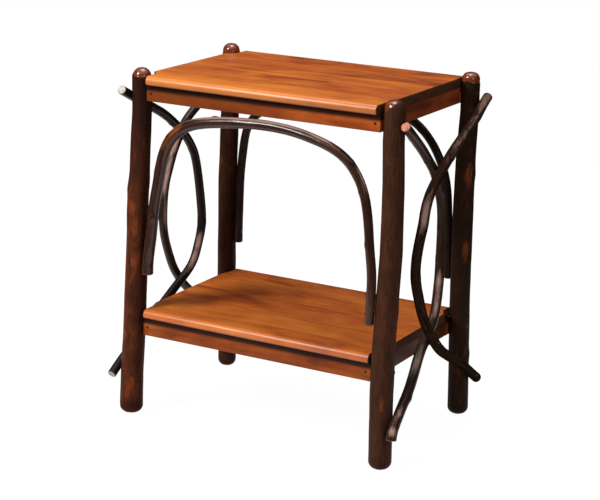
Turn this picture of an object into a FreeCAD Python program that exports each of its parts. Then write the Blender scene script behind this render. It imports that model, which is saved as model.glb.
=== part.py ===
import FreeCAD, Part
import math
import os
import Sketcher
from FreeCAD import Placement, Rotation, Vector

# Rustic hickory side table. Four bark-covered hickory poles carry two sawn board units.
# Each unit is a board on a frame of four aprons, screwed through flats on the posts.
# Two bent poles cross on each side, and one bent arch joins the two posts at the front and at the back.
# Lengths are in millimetres. X runs along the table, Y from front to back and Z up from the floor.

doc = FreeCAD.newDocument("hickory_table")
sheet = doc.addObject("Spreadsheet::Sheet", "Sizes")

DIMENSIONS = [
    ("table_height", 660.0, "floor to the crown of the front left post"),
    ("board_thickness", 18.0, "both boards"),
    ("board_edge_round", 4.5, "rounding along a board's front and back"),
    ("board_end_round", 2.0, "rounding of a board's upper end edges"),
    ("top_board_overhang", 15.0, "board's length beyond its frame, both ends together"),
    ("top_board_overlap", 20.0, "board's depth beyond its frame, front and back together"),
    ("top_board_shift", -6.0, "middle of the board from the middle of its frame, along X"),
    ("top_board_set", 0.0, "the same, along Y"),
    ("shelf_board_overhang", 12.5, "board's length beyond its frame, both ends together"),
    ("shelf_board_overlap", 15.0, "board's depth beyond its frame, front and back together"),
    ("shelf_board_shift", 1.8, "middle of the board from the middle of its frame, along X"),
    ("shelf_board_set", 0.5, "the same, along Y"),
    ("top_frame_length", 471.0, "over the outer faces of the side aprons"),
    ("top_frame_depth", 337.0, "over the faces of the front and back aprons"),
    ("top_frame_shift", 4.9, "middle of the top frame, along X"),
    ("top_frame_set", 0.0, "middle of the top frame, along Y"),
    ("shelf_frame_length", 477.5, "over the outer faces of the side aprons"),
    ("shelf_frame_depth", 328.0, "over the faces of the front and back aprons"),
    ("shelf_frame_shift", -3.9, "middle of the shelf frame, along X"),
    ("shelf_frame_set", 2.0, "middle of the shelf frame, along Y"),
    ("apron_thickness", 19.0, "all eight aprons"),
    ("top_apron_height", 29.0, "upper aprons"),
    ("shelf_apron_height", 33.0, "lower aprons"),
    ("apron_edge_ease", 1.5, "rounding of an apron's lower edges"),
    ("notch_length", 54.0, "corner notch in a board, along Y"),
    ("notch_reach", 11.5, "straight part of a notch beyond its post's centre, at the least"),
    ("notch_slant", 20.0, "slanted inner end of a notch, along Y"),
    ("notch_clearance", 0.8, "board to post in a notch"),
    ("post_diameter", 40.0, "nominal pole, measured in the middle"),
    ("post_seat_depth", 0.9, "flat cut on a post where a frame bears"),
    ("post_inset", 12.5, "post's centre behind the face of the frame"),
    ("crown_length", 19.0, "bare shaved end above the bark"),
    ("crown_round", 10.0, "rounding of a crown"),
    ("crown_shoulder", 1.2, "height of the cut where the bark stops"),
    ("foot_round", 9.0, "rounding of a foot"),
    ("bow_diameter", 18.0, "nominal side bow"),
    ("bow_shelf_set", 0.5, "middle of the side bows behind the middle of the shelf frame"),
    ("bow_top_set", 2.5, "the same, behind the middle of the top frame"),
    ("bow_flare", 3.0, "how far two crossed bows spring outwards together"),
    ("front_arch_diameter", 19.0, "nominal front arch"),
    ("back_arch_diameter", 16.5, "nominal back arch"),
    ("arch_nail_rise", 20.0, "nail above the sawn end of an arch's leg"),
    ("front_arch_lean", 5.5, "how far the front arch leans back at its crown"),
    ("end_ease", 1.2, "chamfer on the sawn ends of bows and arches"),
    ("pole_gap", 0.15, "running clearance between two round poles that touch"),
    ("closest_rows", 9.0, "no free row of a bow nearer than this to a nail or a crossing"),
    ("longest_run", 34.0, "longest straight run in a bent pole's skin"),
    ("nail_diameter", 2.6, "shank of the nails"),
    ("nail_head_diameter", 5.0, "head of the nails"),
    ("nail_head_height", 1.2, "head of the nails"),
    ("nail_recess", 1.6, "spot face that sinks a nail's head"),
    ("apron_nail_length", 42.0, "nails through the front and back aprons"),
    ("bow_nail_length", 38.0, "nails through the bows and arches"),
    ("crossing_nail_length", 28.0, "nails where two bows cross"),
    ("screw_diameter", 4.2, "shank of the screws"),
    ("screw_head_diameter", 8.0, "head of the screws"),
    ("screw_head_height", 2.6, "head of the screws"),
    ("post_screw_recess", 6.0, "counterbore in a post for a screw's head"),
    ("post_screw_length", 62.0, "from the outside of a post into a frame"),
    ("post_screw_rise", 6.0, "post screw above the middle of its frame"),
    ("board_screw_setback", 75.0, "board screw from the middle of a side apron, along Y"),
    ("board_screw_cover", 5.0, "wood left over the tip of a board screw"),
    ("hole_clearance", 0.15, "radial room round a shank or a head"),
    ("tip_room", 1.0, "hole beyond the tip of a nail or a screw"),
    ("cut_overrun", 5.0, "how far a cut runs out of the wood"),
]

for row, (alias, value, note) in enumerate(DIMENSIONS, start=1):
    sheet.set("A%d" % row, alias)
    sheet.set("B%d" % row, "%g" % value)
    sheet.set("C%d" % row, note)
    sheet.setAlias("B%d" % row, alias)
doc.recompute()


def size(alias):
    """Value of one cell of the sheet, in millimetres."""
    return float(sheet.get(alias))


UP = Vector(0, 0, 1)
ALONG = Vector(1, 0, 0)
BACKWARDS = Vector(0, 1, 0)
FULL_TURN = 2 * math.pi
QUARTER_TURN = math.pi / 2


# A unit is a board, the four aprons under it and the flats on the posts at its height.
# The upper faces of the boards lie at these shares of the table's height.
LEVEL_SHARES = {"top": 0.98273, "shelf": 0.31288}


def unit_values(name):
    """Faces and levels of one unit, worked out from the sheet."""
    length = size(name + "_frame_length")
    depth = size(name + "_frame_depth")
    level = LEVEL_SHARES[name] * size("table_height")
    apron_top = level - size("board_thickness")
    apron_height = size(name + "_apron_height")
    middle = size(name + "_frame_shift")
    centre = size(name + "_frame_set")
    return {
        "face": {-1: middle - length / 2, 1: middle + length / 2},
        "line": {-1: centre - depth / 2, 1: centre + depth / 2},
        "level": level,
        "apron_top": apron_top,
        "apron_bottom": apron_top - apron_height,
        "apron_middle": apron_top - apron_height / 2,
    }


UNITS = {"top": unit_values("top"), "shelf": unit_values("shelf")}

# The posts are hickory saplings with the bark left on, so each one tapers and wanders in its own way.
# A row holds the height as a share of the table's height, then shares of the post's diameter:
# how far the pole wanders outwards along X, how far backwards along Y, and its girth there.
# The seat shares set each post's centre at the two units, and its girth there.
POSTS = {
    "post_front_left": {
        "side": -1,
        "end": -1,
        "crown_shares": (1.0, 0),
        "seat_shares": {"top": (0.0, 0.895), "shelf": (-0.26, 1.07)},
        "wander_shares": [
            (0.0, -0.01, -0.07, 1.115),
            (0.118, 0.03, -0.03, 1.07),
            (0.409, -0.005, -0.02, 1.045),
            (0.591, 0.045, 0.0, 0.985),
            (0.655, 0.05, 0.0, 0.98),
            (0.682, 0.015, 0.01, 0.975),
            (0.765, 0.03, 0.01, 0.955),
        ],
    },
    "post_front_right": {
        "side": 1,
        "end": -1,
        "crown_shares": (0.996, -0.06),
        "seat_shares": {"top": (0.09, 0.93), "shelf": (-0.19, 1.055)},
        "wander_shares": [
            (0.0, 0.17, -0.12, 1.055),
            (0.118, 0.07, -0.03, 1.065),
            (0.409, 0.055, 0.0, 1.018),
            (0.591, 0.165, 0.0, 0.997),
            (0.765, 0.125, 0.0, 0.965),
        ],
    },
    "post_rear_left": {
        "side": -1,
        "end": 1,
        "crown_shares": (1.0065, 0.03),
        "seat_shares": {"top": (0.19, 0.855), "shelf": (-0.23, 0.945)},
        "wander_shares": [
            (0.0, -0.19, -0.075, 0.92),
            (0.118, -0.115, -0.04, 0.932),
            (0.409, 0.04, 0.015, 0.93),
            (0.591, 0.07, 0.01, 0.925),
            (0.765, 0.035, 0.015, 0.91),
        ],
    },
    "post_rear_right": {
        "side": 1,
        "end": 1,
        "crown_shares": (0.9985, 0.05),
        "seat_shares": {"top": (-0.18, 0.845), "shelf": (-0.30, 0.978)},
        "wander_shares": [
            (0.0, 0.155, 0.0, 0.982),
            (0.118, 0.095, 0.025, 0.988),
            (0.409, -0.06, 0.025, 0.975),
            (0.591, -0.095, 0.03, 0.97),
            (0.765, -0.11, 0.02, 0.93),
        ],
    },
}
CROWN_GIRTH_SHARE = 0.955
ROUNDING_STEPS = 4


def seat_centre(post, unit):
    """Centre and radius of a post where it bears on a frame with its flat."""
    values = POSTS[post]
    set_share, girth_share = values["seat_shares"][unit]
    radius = girth_share * size("post_diameter") / 2
    reach = radius - size("post_seat_depth")
    inset = size("post_inset") + set_share * size("post_diameter")
    x = UNITS[unit]["face"][values["side"]] + values["side"] * reach
    y = UNITS[unit]["line"][values["end"]] - values["end"] * inset
    return Vector(x, y, UNITS[unit]["apron_middle"]), radius


def post_rows(post):
    """Centres and radii of a post from its foot to its crown, in order of height."""
    values = POSTS[post]
    low, low_radius = seat_centre(post, "shelf")
    high, high_radius = seat_centre(post, "top")
    rows = [(low, low_radius), (high, high_radius)]
    for height_share, out_share, back_share, girth_share in values["wander_shares"]:
        height = height_share * size("table_height")
        base = low + (high - low) * ((height - low.z) / (high.z - low.z))
        wander = Vector(values["side"] * out_share, back_share, 0) * size("post_diameter")
        rows.append((base + wander, girth_share * size("post_diameter") / 2))
    crown_share, lean_share = values["crown_shares"]
    crown = crown_share * size("table_height")
    top = low + (high - low) * ((crown - low.z) / (high.z - low.z))
    lean = ALONG * (values["side"] * lean_share * size("post_diameter"))
    rows.append((top + lean, high_radius * CROWN_GIRTH_SHARE))
    return sorted(rows, key=lambda row: row[0].z)


POST_ROWS = {post: post_rows(post) for post in POSTS}


def post_at(post, height):
    """Centre and radius of a post at one height."""
    rows = POST_ROWS[post]
    for (low, low_radius), (high, high_radius) in zip(rows, rows[1:]):
        if height <= high.z:
            break
    part = (height - low.z) / (high.z - low.z)
    return low + (high - low) * part, low_radius + (high_radius - low_radius) * part


def origin_plane(body, role):
    return [item for item in body.Origin.OriginFeatures if item.Role == role][0]


# Hand-shaved poles are many-sided. Each cross-section is a regular polygon with a corner towards "across".
POLE_TURN_STEPS = {
    "post_diameter": 16,
    "bow_diameter": 12,
    "front_arch_diameter": 12,
    "back_arch_diameter": 12,
}
FASTENER_TURN_STEPS = 6


def pole_section(body, name, centre, run, across, alias, share, trim):
    """One cross-section of a pole square to its run: a polygon in a circle bound to its sheet diameter."""
    sketch = body.newObject("Sketcher::SketchObject", name)
    sketch.AttachmentSupport = [(origin_plane(body, "XY_Plane"), "")]
    sketch.MapMode = "FlatFace"
    side = run.cross(across).normalize()
    sketch.AttachmentOffset = Placement(centre, Rotation(side.cross(run), side, run, "ZXY"))
    radius = size(alias) * share / 2 - trim
    count = POLE_TURN_STEPS[alias]
    corners = []
    for step in range(count):
        turn = FULL_TURN * step / count
        corners.append(Vector(radius * math.cos(turn), radius * math.sin(turn), 0))
    sketch.addGeometry([Part.LineSegment(corners[i - 1], corners[i]) for i in range(count)], False)
    sketch.addGeometry(Part.Circle(Vector(), UP, radius), True)
    rules = [Sketcher.Constraint("Coincident", count, 3, -1, 1), Sketcher.Constraint("Radius", count, radius)]
    for i in range(count):
        rules.append(Sketcher.Constraint("Coincident", i - 1 if i else count - 1, 2, i, 1))
        rules.append(Sketcher.Constraint("PointOnObject", i, 2, count))
    for i in range(1, count):
        rules.append(Sketcher.Constraint("Equal", 0, i))
    rules.append(Sketcher.Constraint("PointOnObject", 0, 2, -1))
    sketch.addConstraint(rules)
    sketch.setExpression("Constraints[1]", "Sizes.%s * %.6f - %.6f" % (alias, share / 2, trim))
    return sketch


def pole(label, rows, across, alias):
    """A pole skinned over its cross-sections, from rows of centre, run, share and trim."""
    body = doc.addObject("PartDesign::Body", label)
    body.Label = label
    sketches = []
    for index, (centre, run, share, trim) in enumerate(rows):
        name = "%s_section_%02d" % (label, index)
        sketches.append(pole_section(body, name, centre, run, across, alias, share, trim))
    skin = body.newObject("PartDesign::AdditiveLoft", label + "_skin")
    skin.Profile = (sketches[0], [""])
    skin.Sections = [(sketch, [""]) for sketch in sketches[1:]]
    skin.Ruled = True
    skin.Refine = False
    doc.recompute()
    return body


# Holes and flats are gathered while the pieces are laid out, and cut out of the blanks at the end.
cutters = {}


def drill(body, start, run, depth, alias):
    """A hole along the run, with the named clearance round the shank or head that it takes."""
    holes = cutters.setdefault(body.Label, [])
    hole = doc.addObject("Part::Prism", "%s_hole_%d" % (body.Label, len(holes)))
    hole.Polygon = FASTENER_TURN_STEPS
    hole.setExpression("Circumradius", "Sizes.%s / 2 + Sizes.hole_clearance" % alias)
    hole.Height = depth
    hole.Placement = Placement(start, Rotation(UP, run))
    holes.append(hole)


def finished(body):
    """The piece itself: its blank, with all its holes and flats cut out together."""
    label = body.Label
    body.Label = label + "_blank"
    tools = doc.addObject("Part::MultiFuse", label + "_cutters")
    tools.Shapes = cutters[label]
    tools.Refine = False
    piece = doc.addObject("Part::Cut", label + "_cut")
    piece.Base = body
    piece.Tool = tools
    piece.Refine = False
    piece.Label = label
    return piece


def block_cut(body, place, spans):
    """A box cut from its placed corner over three spans, before a board's edges are rounded."""
    cut = body.newObject("PartDesign::SubtractiveBox", body.Label + "_cut")
    cut.Length, cut.Width, cut.Height = spans
    cut.Placement = place
    cut.Refine = False


def post_body(post):
    """One post: rounded foot, tapering bark, a shoulder where the bark stops and a rounded crown."""
    diameter = size("post_diameter")
    crown_top = POSTS[post]["crown_shares"][0] * size("table_height")
    bark_end = crown_top - size("crown_length")
    rows = []
    for step in range(ROUNDING_STEPS + 1):
        turn = QUARTER_TURN * step / ROUNDING_STEPS
        height = size("foot_round") * (1 - math.cos(turn))
        centre, radius = post_at(post, height)
        trim = size("foot_round") * (1 - math.sin(turn))
        rows.append((centre, UP, 2 * radius / diameter, trim))
    for centre, radius in POST_ROWS[post]:
        if size("foot_round") < centre.z < bark_end:
            rows.append((centre, UP, 2 * radius / diameter, 0.0))
    centre, radius = post_at(post, bark_end)
    rows.append((centre, UP, 2 * radius / diameter, 0.0))
    for step in range(ROUNDING_STEPS + 1):
        turn = QUARTER_TURN * step / ROUNDING_STEPS
        height = crown_top - size("crown_round") * (1 - math.sin(turn))
        centre, radius = post_at(post, height)
        if step == 0:
            start, start_radius = post_at(post, bark_end + size("crown_shoulder"))
            rows.append((start, UP, 2 * start_radius * CROWN_GIRTH_SHARE / diameter, 0.0))
        trim = size("crown_round") * (1 - math.cos(turn))
        rows.append((centre, UP, 2 * radius * CROWN_GIRTH_SHARE / diameter, trim))
    return pole(post, rows, ALONG, "post_diameter")


post_bodies = {post: post_body(post) for post in POSTS}


def cut_seats(post):
    """The two flats of a post, each as tall as the apron that bears on it."""
    side = POSTS[post]["side"]
    for unit in UNITS:
        centre, radius = seat_centre(post, unit)
        face = UNITS[unit]["face"][side]
        reach = size("post_diameter")
        corner_x = face if side < 0 else face - reach
        height = UNITS[unit]["apron_top"] - UNITS[unit]["apron_bottom"]
        corner = Vector(corner_x, centre.y - reach / 2, UNITS[unit]["apron_bottom"])
        flat = doc.addObject("Part::Box", "%s_%s_seat" % (post, unit))
        flat.Length, flat.Width, flat.Height = reach, reach, height
        flat.Placement = Placement(corner, Rotation())
        cutters.setdefault(post, []).append(flat)


# The boards are sawn hickory, each in one piece, with a notch at every corner that clears its post.
# A notch ends in a slant, as a saw leaves it, and the upper edges are rounded over.
def notch_wall(unit, post):
    """The wall of the notch that clears one post over the thickness of the board."""
    side = POSTS[post]["side"]
    level = UNITS[unit]["level"]
    flanks = []
    for height in (level, level - size("board_thickness")):
        centre, radius = post_at(post, height)
        flanks.append(side * (centre.x - side * radius))
    inner = min(flanks + [side * UNITS[unit]["face"][side]])
    return side * (inner - size("notch_clearance"))


def edges_at(shape, test):
    """Names of the edges whose middle and run pass a test."""
    names = []
    for index, edge in enumerate(shape.Edges, start=1):
        first, last = edge.Vertexes[0].Point, edge.Vertexes[-1].Point
        if test((first + last) / 2, last - first):
            names.append("Edge%d" % index)
    return names


def notch_cuts(body, unit, post, rim, line):
    """The straight part of one corner notch, then the slant that runs out to the board's end."""
    side, end = POSTS[post]["side"], POSTS[post]["end"]
    wall = notch_wall(unit, post)
    overrun = size("cut_overrun")
    centre, radius = post_at(post, UNITS[unit]["level"])
    straight = max(size("notch_length") - size("notch_slant"), abs(line - centre.y) + size("notch_reach"))
    bottom = UNITS[unit]["level"] - size("board_thickness") - overrun
    height = size("board_thickness") + 2 * overrun
    width = abs(rim - wall) + overrun
    corner_x = wall if side > 0 else wall - width
    corner_y = line - straight if end > 0 else line - overrun
    corner = Vector(corner_x, corner_y, bottom)
    block_cut(body, Placement(corner, Rotation()), (width, straight + overrun, height))
    inner = Vector(wall, line - end * straight, bottom)
    outer = Vector(rim, line - end * (straight + size("notch_slant")), bottom)
    slant = outer - inner
    span = slant.Length + overrun
    slant.normalize()
    outwards = Vector(side, end, 0)
    outwards = (outwards - slant * outwards.dot(slant)).normalize()
    start = inner
    if slant.cross(outwards).z < 0:
        start = inner + slant * span
        slant = -slant
    turned = Rotation(slant, outwards, UP, "ZXY")
    block_cut(body, Placement(start, turned), (span, size("notch_length"), height))


def board(unit):
    """One notched board on its frame."""
    label = {"top": "top_board", "shelf": "shelf_board"}[unit]
    length = size(unit + "_frame_length") + size(label + "_overhang")
    depth = size(unit + "_frame_depth") + size(label + "_overlap")
    middle = size(unit + "_frame_shift") + size(label + "_shift")
    centre = size(unit + "_frame_set") + size(label + "_set")
    level = UNITS[unit]["level"]
    bottom = level - size("board_thickness")
    body = doc.addObject("PartDesign::Body", label)
    body.Label = label
    plank = body.newObject("PartDesign::AdditiveBox", label + "_plank")
    plank.setExpression("Length", "Sizes.%s_frame_length + Sizes.%s_overhang" % (unit, label))
    plank.setExpression("Width", "Sizes.%s_frame_depth + Sizes.%s_overlap" % (unit, label))
    plank.setExpression("Height", "Sizes.board_thickness")
    plank.Placement = Placement(Vector(middle - length / 2, centre - depth / 2, bottom), Rotation())
    for post, values in POSTS.items():
        rim = middle + values["side"] * length / 2
        line = centre + values["end"] * depth / 2
        notch_cuts(body, unit, post, rim, line)
    doc.recompute()
    near = size("hole_clearance")
    along = edges_at(
        body.Tip.Shape,
        lambda spot, run: abs(spot.z - level) < near and abs(abs(spot.y - centre) - depth / 2) < near,
    )
    nosing = body.newObject("PartDesign::Fillet", label + "_nosing")
    nosing.Base = (nosing.BaseFeature, along)
    nosing.setExpression("Radius", "Sizes.board_edge_round")
    doc.recompute()
    across = edges_at(
        nosing.Shape,
        lambda spot, run: abs(spot.z - level) < near
        and abs(abs(spot.x - middle) - length / 2) < near
        and abs(run.y) > depth / 2,
    )
    ends = body.newObject("PartDesign::Fillet", label + "_ends")
    ends.Base = (nosing, across)
    ends.setExpression("Radius", "Sizes.board_end_round")
    doc.recompute()
    return body


board_bodies = {unit: board(unit) for unit in UNITS}


# The aprons are sawn boards on edge. The front and back ones run past the ends of the side ones.
def apron(unit, where):
    """One apron of a frame, with its lower edges eased."""
    values = UNITS[unit]
    label = "%s_%s_apron" % (unit, where)
    thickness = size("apron_thickness")
    body = doc.addObject("PartDesign::Body", label)
    body.Label = label
    rail = body.newObject("PartDesign::AdditiveBox", label + "_rail")
    rail.setExpression("Height", "Sizes.%s_apron_height" % unit)
    if where in ("front", "back"):
        rail.setExpression("Length", "Sizes.%s_frame_length" % unit)
        rail.setExpression("Width", "Sizes.apron_thickness")
        y = values["line"][-1] if where == "front" else values["line"][1] - thickness
        corner = Vector(values["face"][-1], y, values["apron_bottom"])
    else:
        rail.setExpression("Length", "Sizes.apron_thickness")
        rail.setExpression("Width", "Sizes.%s_frame_depth - 2 * Sizes.apron_thickness" % unit)
        x = values["face"][-1] if where == "left" else values["face"][1] - thickness
        corner = Vector(x, values["line"][-1] + thickness, values["apron_bottom"])
    rail.Placement = Placement(corner, Rotation())
    doc.recompute()
    run_along = ALONG if where in ("front", "back") else BACKWARDS
    names = edges_at(
        rail.Shape,
        lambda spot, run: abs(spot.z - values["apron_bottom"]) < size("hole_clearance")
        and abs(run.dot(run_along)) > 2 * thickness,
    )
    easing = body.newObject("PartDesign::Fillet", label + "_easing")
    easing.Base = (rail, names)
    easing.setExpression("Radius", "Sizes.apron_edge_ease")
    doc.recompute()
    return body


APRON_PLACES = ("front", "back", "left", "right")
apron_bodies = {(unit, where): apron(unit, where) for unit in UNITS for where in APRON_PLACES}


# Each side carries two bent poles that cross twice. One end of each is nailed to the outside of a post
# near the top unit, and the other near the post's foot. The front bow passes inside the rear bow.
# A row holds the height as a share of the table's height, and the place along Y as a share of the bows'
# reach, from the sawn top end down to the sawn foot end.
BOWS = {
    "right_front_bow": {
        "post": "post_front_right",
        "girth_shares": (0.97, 1.06),
        "course_shares": [
            (0.934, -1.03),
            (0.902, -0.83),
            (0.873, -0.65),
            (0.844, -0.485),
            (0.816, -0.355),
            (0.781, -0.185),
            (0.735, -0.075),
            (0.674, 0.04),
            (0.598, 0.07),
            (0.531, 0.064),
            (0.464, 0.045),
            (0.42, 0.02),
            (0.357, -0.061),
            (0.286, -0.385),
            (0.25, -0.481),
            (0.213, -0.592),
            (0.181, -0.756),
            (0.151, -0.949),
            (0.118, -1.094),
            (0.104, -1.15),
        ],
    },
    "right_rear_bow": {
        "post": "post_rear_right",
        "girth_shares": (1.0, 1.04),
        "course_shares": [
            (0.931, 1.11),
            (0.881, 0.715),
            (0.859, 0.398),
            (0.834, 0.124),
            (0.811, -0.07),
            (0.756, -0.424),
            (0.731, -0.532),
            (0.698, -0.613),
            (0.662, -0.643),
            (0.624, -0.721),
            (0.584, -0.784),
            (0.542, -0.806),
            (0.519, -0.794),
            (0.471, -0.716),
            (0.427, -0.632),
            (0.374, -0.493),
            (0.296, -0.192),
            (0.256, 0.054),
            (0.225, 0.306),
            (0.189, 0.577),
            (0.147, 0.869),
            (0.107, 1.13),
        ],
    },
    "left_front_bow": {
        "post": "post_front_left",
        "girth_shares": (0.95, 0.95),
        "course_shares": [
            (0.939, -1.15),
            (0.874, -0.605),
            (0.845, -0.359),
            (0.797, -0.065),
            (0.769, 0.08),
            (0.735, 0.232),
            (0.696, 0.35),
            (0.653, 0.417),
            (0.599, 0.478),
            (0.546, 0.529),
            (0.492, 0.572),
            (0.451, 0.572),
            (0.42, 0.525),
            (0.374, 0.456),
            (0.334, 0.283),
            (0.305, 0.039),
            (0.215, -0.53),
            (0.139, -1.008),
            (0.112, -1.164),
        ],
    },
    "left_rear_bow": {
        "post": "post_rear_left",
        "girth_shares": (0.93, 0.94),
        "course_shares": [
            (0.92, 1.05),
            (0.885, 0.82),
            (0.85, 0.61),
            (0.817, 0.442),
            (0.787, 0.26),
            (0.706, 0.04),
            (0.669, -0.024),
            (0.632, -0.088),
            (0.599, -0.119),
            (0.55, -0.128),
            (0.499, -0.12),
            (0.449, -0.062),
            (0.394, 0.042),
            (0.366, 0.104),
            (0.336, 0.183),
            (0.273, 0.442),
            (0.215, 0.73),
            (0.165, 0.94),
            (0.108, 1.13),
        ],
    },
}


BOW_REACH_SHARES = {"shelf": 0.991, "top": 0.9645}


def bow_y(height_share, along_share):
    """Place along Y of a point on a bow. The bows' reach follows the frames' depths, as the posts do."""
    low, high = UNITS["shelf"]["apron_middle"], UNITS["top"]["apron_middle"]
    part = (height_share * size("table_height") - low) / (high - low)
    reaches = []
    middles = []
    for unit in ("shelf", "top"):
        reaches.append(BOW_REACH_SHARES[unit] * size(unit + "_frame_depth") / 2)
        middles.append(size(unit + "_frame_set") + size("bow_%s_set" % unit))
    reach = reaches[0] + (reaches[1] - reaches[0]) * part
    middle = middles[0] + (middles[1] - middles[0]) * part
    return middle + along_share * reach


PAIRS = (("right_front_bow", "right_rear_bow"), ("left_front_bow", "left_rear_bow"))


def meeting(first_start, first_end, second_start, second_end):
    """Point where two short straight runs meet in the side view, or None."""
    first_run = (first_end[0] - first_start[0], first_end[1] - first_start[1])
    second_run = (second_end[0] - second_start[0], second_end[1] - second_start[1])
    between = (second_start[0] - first_start[0], second_start[1] - first_start[1])
    turn = first_run[0] * second_run[1] - first_run[1] * second_run[0]
    if turn == 0:
        return None
    part = (between[0] * second_run[1] - between[1] * second_run[0]) / turn
    other = (between[0] * first_run[1] - between[1] * first_run[0]) / turn
    if 0 <= part < 1 and 0 <= other < 1:
        return (first_start[0] + first_run[0] * part, first_start[1] + first_run[1] * part)
    return None


class Bow:
    """A side bow's course in the side view, and how far it stands out from the posts."""

    def __init__(self, name):
        self.name = name
        self.post = BOWS[name]["post"]
        self.side = POSTS[self.post]["side"]
        self.rows = [
            (bow_y(height_share, along_share), height_share * size("table_height"))
            for height_share, along_share in BOWS[name]["course_shares"]
        ]
        self.nails = [self.nail_point(self.rows), self.nail_point(self.rows[::-1])]
        self.crossings = []

    def marks(self):
        """The places that the bow has to pass: its sawn ends, its nails and its crossings."""
        return [self.rows[0], self.rows[-1]] + self.nails + [spot for spot, reach in self.crossings]

    def course(self):
        """The marks, and the rows that aren't too near one of them, from the top end to the foot end."""
        marks = self.marks()
        near = size("closest_rows")
        free = [row for row in self.rows if min(math.dist(row, mark) for mark in marks) > near]
        return sorted(marks + free, key=lambda row: -row[1])

    def radius(self, height):
        """Half of the bow's girth, which changes evenly from the top end to the foot end."""
        top_share, foot_share = BOWS[self.name]["girth_shares"]
        top, foot = self.rows[0][1], self.rows[-1][1]
        share = top_share + (foot_share - top_share) * (top - height) / (top - foot)
        return size("bow_diameter") * share / 2

    def share(self, point):
        """The bow's girth at a point, as a share of its diameter."""
        return 2 * self.radius(point.z) / size("bow_diameter")

    def nail_point(self, rows):
        """Where the bow, followed from one end, first passes the centre line of its post."""
        for (y1, z1), (y2, z2) in zip(rows, rows[1:]):
            post, post_radius = post_at(self.post, (z1 + z2) / 2)
            part = (post.y - y1) / (y2 - y1)
            if 0 <= part < 1:
                return (post.y, z1 + (z2 - z1) * part)
        return None

    def nail_x(self, nail):
        post, post_radius = post_at(self.post, nail[1])
        return post.x + self.side * (post_radius + self.radius(nail[1]) + size("pole_gap"))

    def line_x(self, height):
        """The straight line between the two nails, at one height."""
        top, foot = self.nails
        part = (top[1] - height) / (top[1] - foot[1])
        return self.nail_x(top) + (self.nail_x(foot) - self.nail_x(top)) * part

    def offset(self, y, height):
        """How far the bow springs out from that line, to pass over or under the other bow."""
        (upper, upper_offset), (lower, lower_offset) = self.crossings
        top, foot = self.nails
        if lower[1] <= height <= upper[1]:
            part = (upper[1] - height) / (upper[1] - lower[1])
            return upper_offset + (lower_offset - upper_offset) * part
        crossing, reach, nail = lower, lower_offset, foot
        if height > upper[1]:
            crossing, reach, nail = upper, upper_offset, top
        part = (y - nail[0]) / (crossing[0] - nail[0])
        return reach * math.sin(QUARTER_TURN * min(max(part, 0.0), 1.0))

    def points(self):
        return [Vector(self.line_x(z) + self.offset(y, z), y, z) for y, z in self.course()]


bows = {name: Bow(name) for name in BOWS}


def cross(inner, outer):
    """Find the two crossings of a pair of bows, and set the bows side by side at each."""
    found = []
    for inner_start, inner_end in zip(inner.course(), inner.course()[1:]):
        for outer_start, outer_end in zip(outer.course(), outer.course()[1:]):
            spot = meeting(inner_start, inner_end, outer_start, outer_end)
            if spot:
                found.append(spot)
    for y, z in sorted(found, key=lambda spot: -spot[1]):
        middle = (inner.line_x(z) + outer.line_x(z)) / 2 + inner.side * size("bow_flare")
        for bow, way in ((inner, -1), (outer, 1)):
            beside = middle + bow.side * way * (bow.radius(z) + size("pole_gap") / 2)
            bow.crossings.append(((y, z), beside - bow.line_x(z)))


for inner_name, outer_name in PAIRS:
    cross(bows[inner_name], bows[outer_name])


def smooth_course(points):
    """Points of a smooth curve through the given ones, with one more in each run that is too long."""
    curve = Part.BSplineCurve()
    curve.interpolate(points)
    knots = [curve.parameter(point) for point in points]
    course = []
    for first, second in zip(knots, knots[1:]):
        start = curve.value(first)
        course.append(start)
        if start.distanceToPoint(curve.value(second)) > size("longest_run"):
            course.append(curve.value((first + second) / 2))
    course.append(points[-1])
    return course


def bent_pole(label, points, across, alias, share_at):
    """A bent pole skinned along a smooth course, with both sawn ends chamfered."""
    ease = size("end_ease")
    course = smooth_course(points)
    first_run = (course[1] - course[0]).normalize()
    last_run = (course[-1] - course[-2]).normalize()
    rows = [(course[0], first_run, share_at(course[0]), ease)]
    rows.append((course[0] + first_run * ease, first_run, share_at(course[0]), 0.0))
    for before, here, after in zip(course, course[1:], course[2:]):
        rows.append((here, (after - before).normalize(), share_at(here), 0.0))
    rows.append((course[-1] - last_run * ease, last_run, share_at(course[-1]), 0.0))
    rows.append((course[-1], last_run, share_at(course[-1]), ease))
    return pole(label, rows, across, alias)


bow_bodies = {}
for name, bow in bows.items():
    bow_bodies[name] = bent_pole(name, bow.points(), ALONG, "bow_diameter", bow.share)

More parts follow.
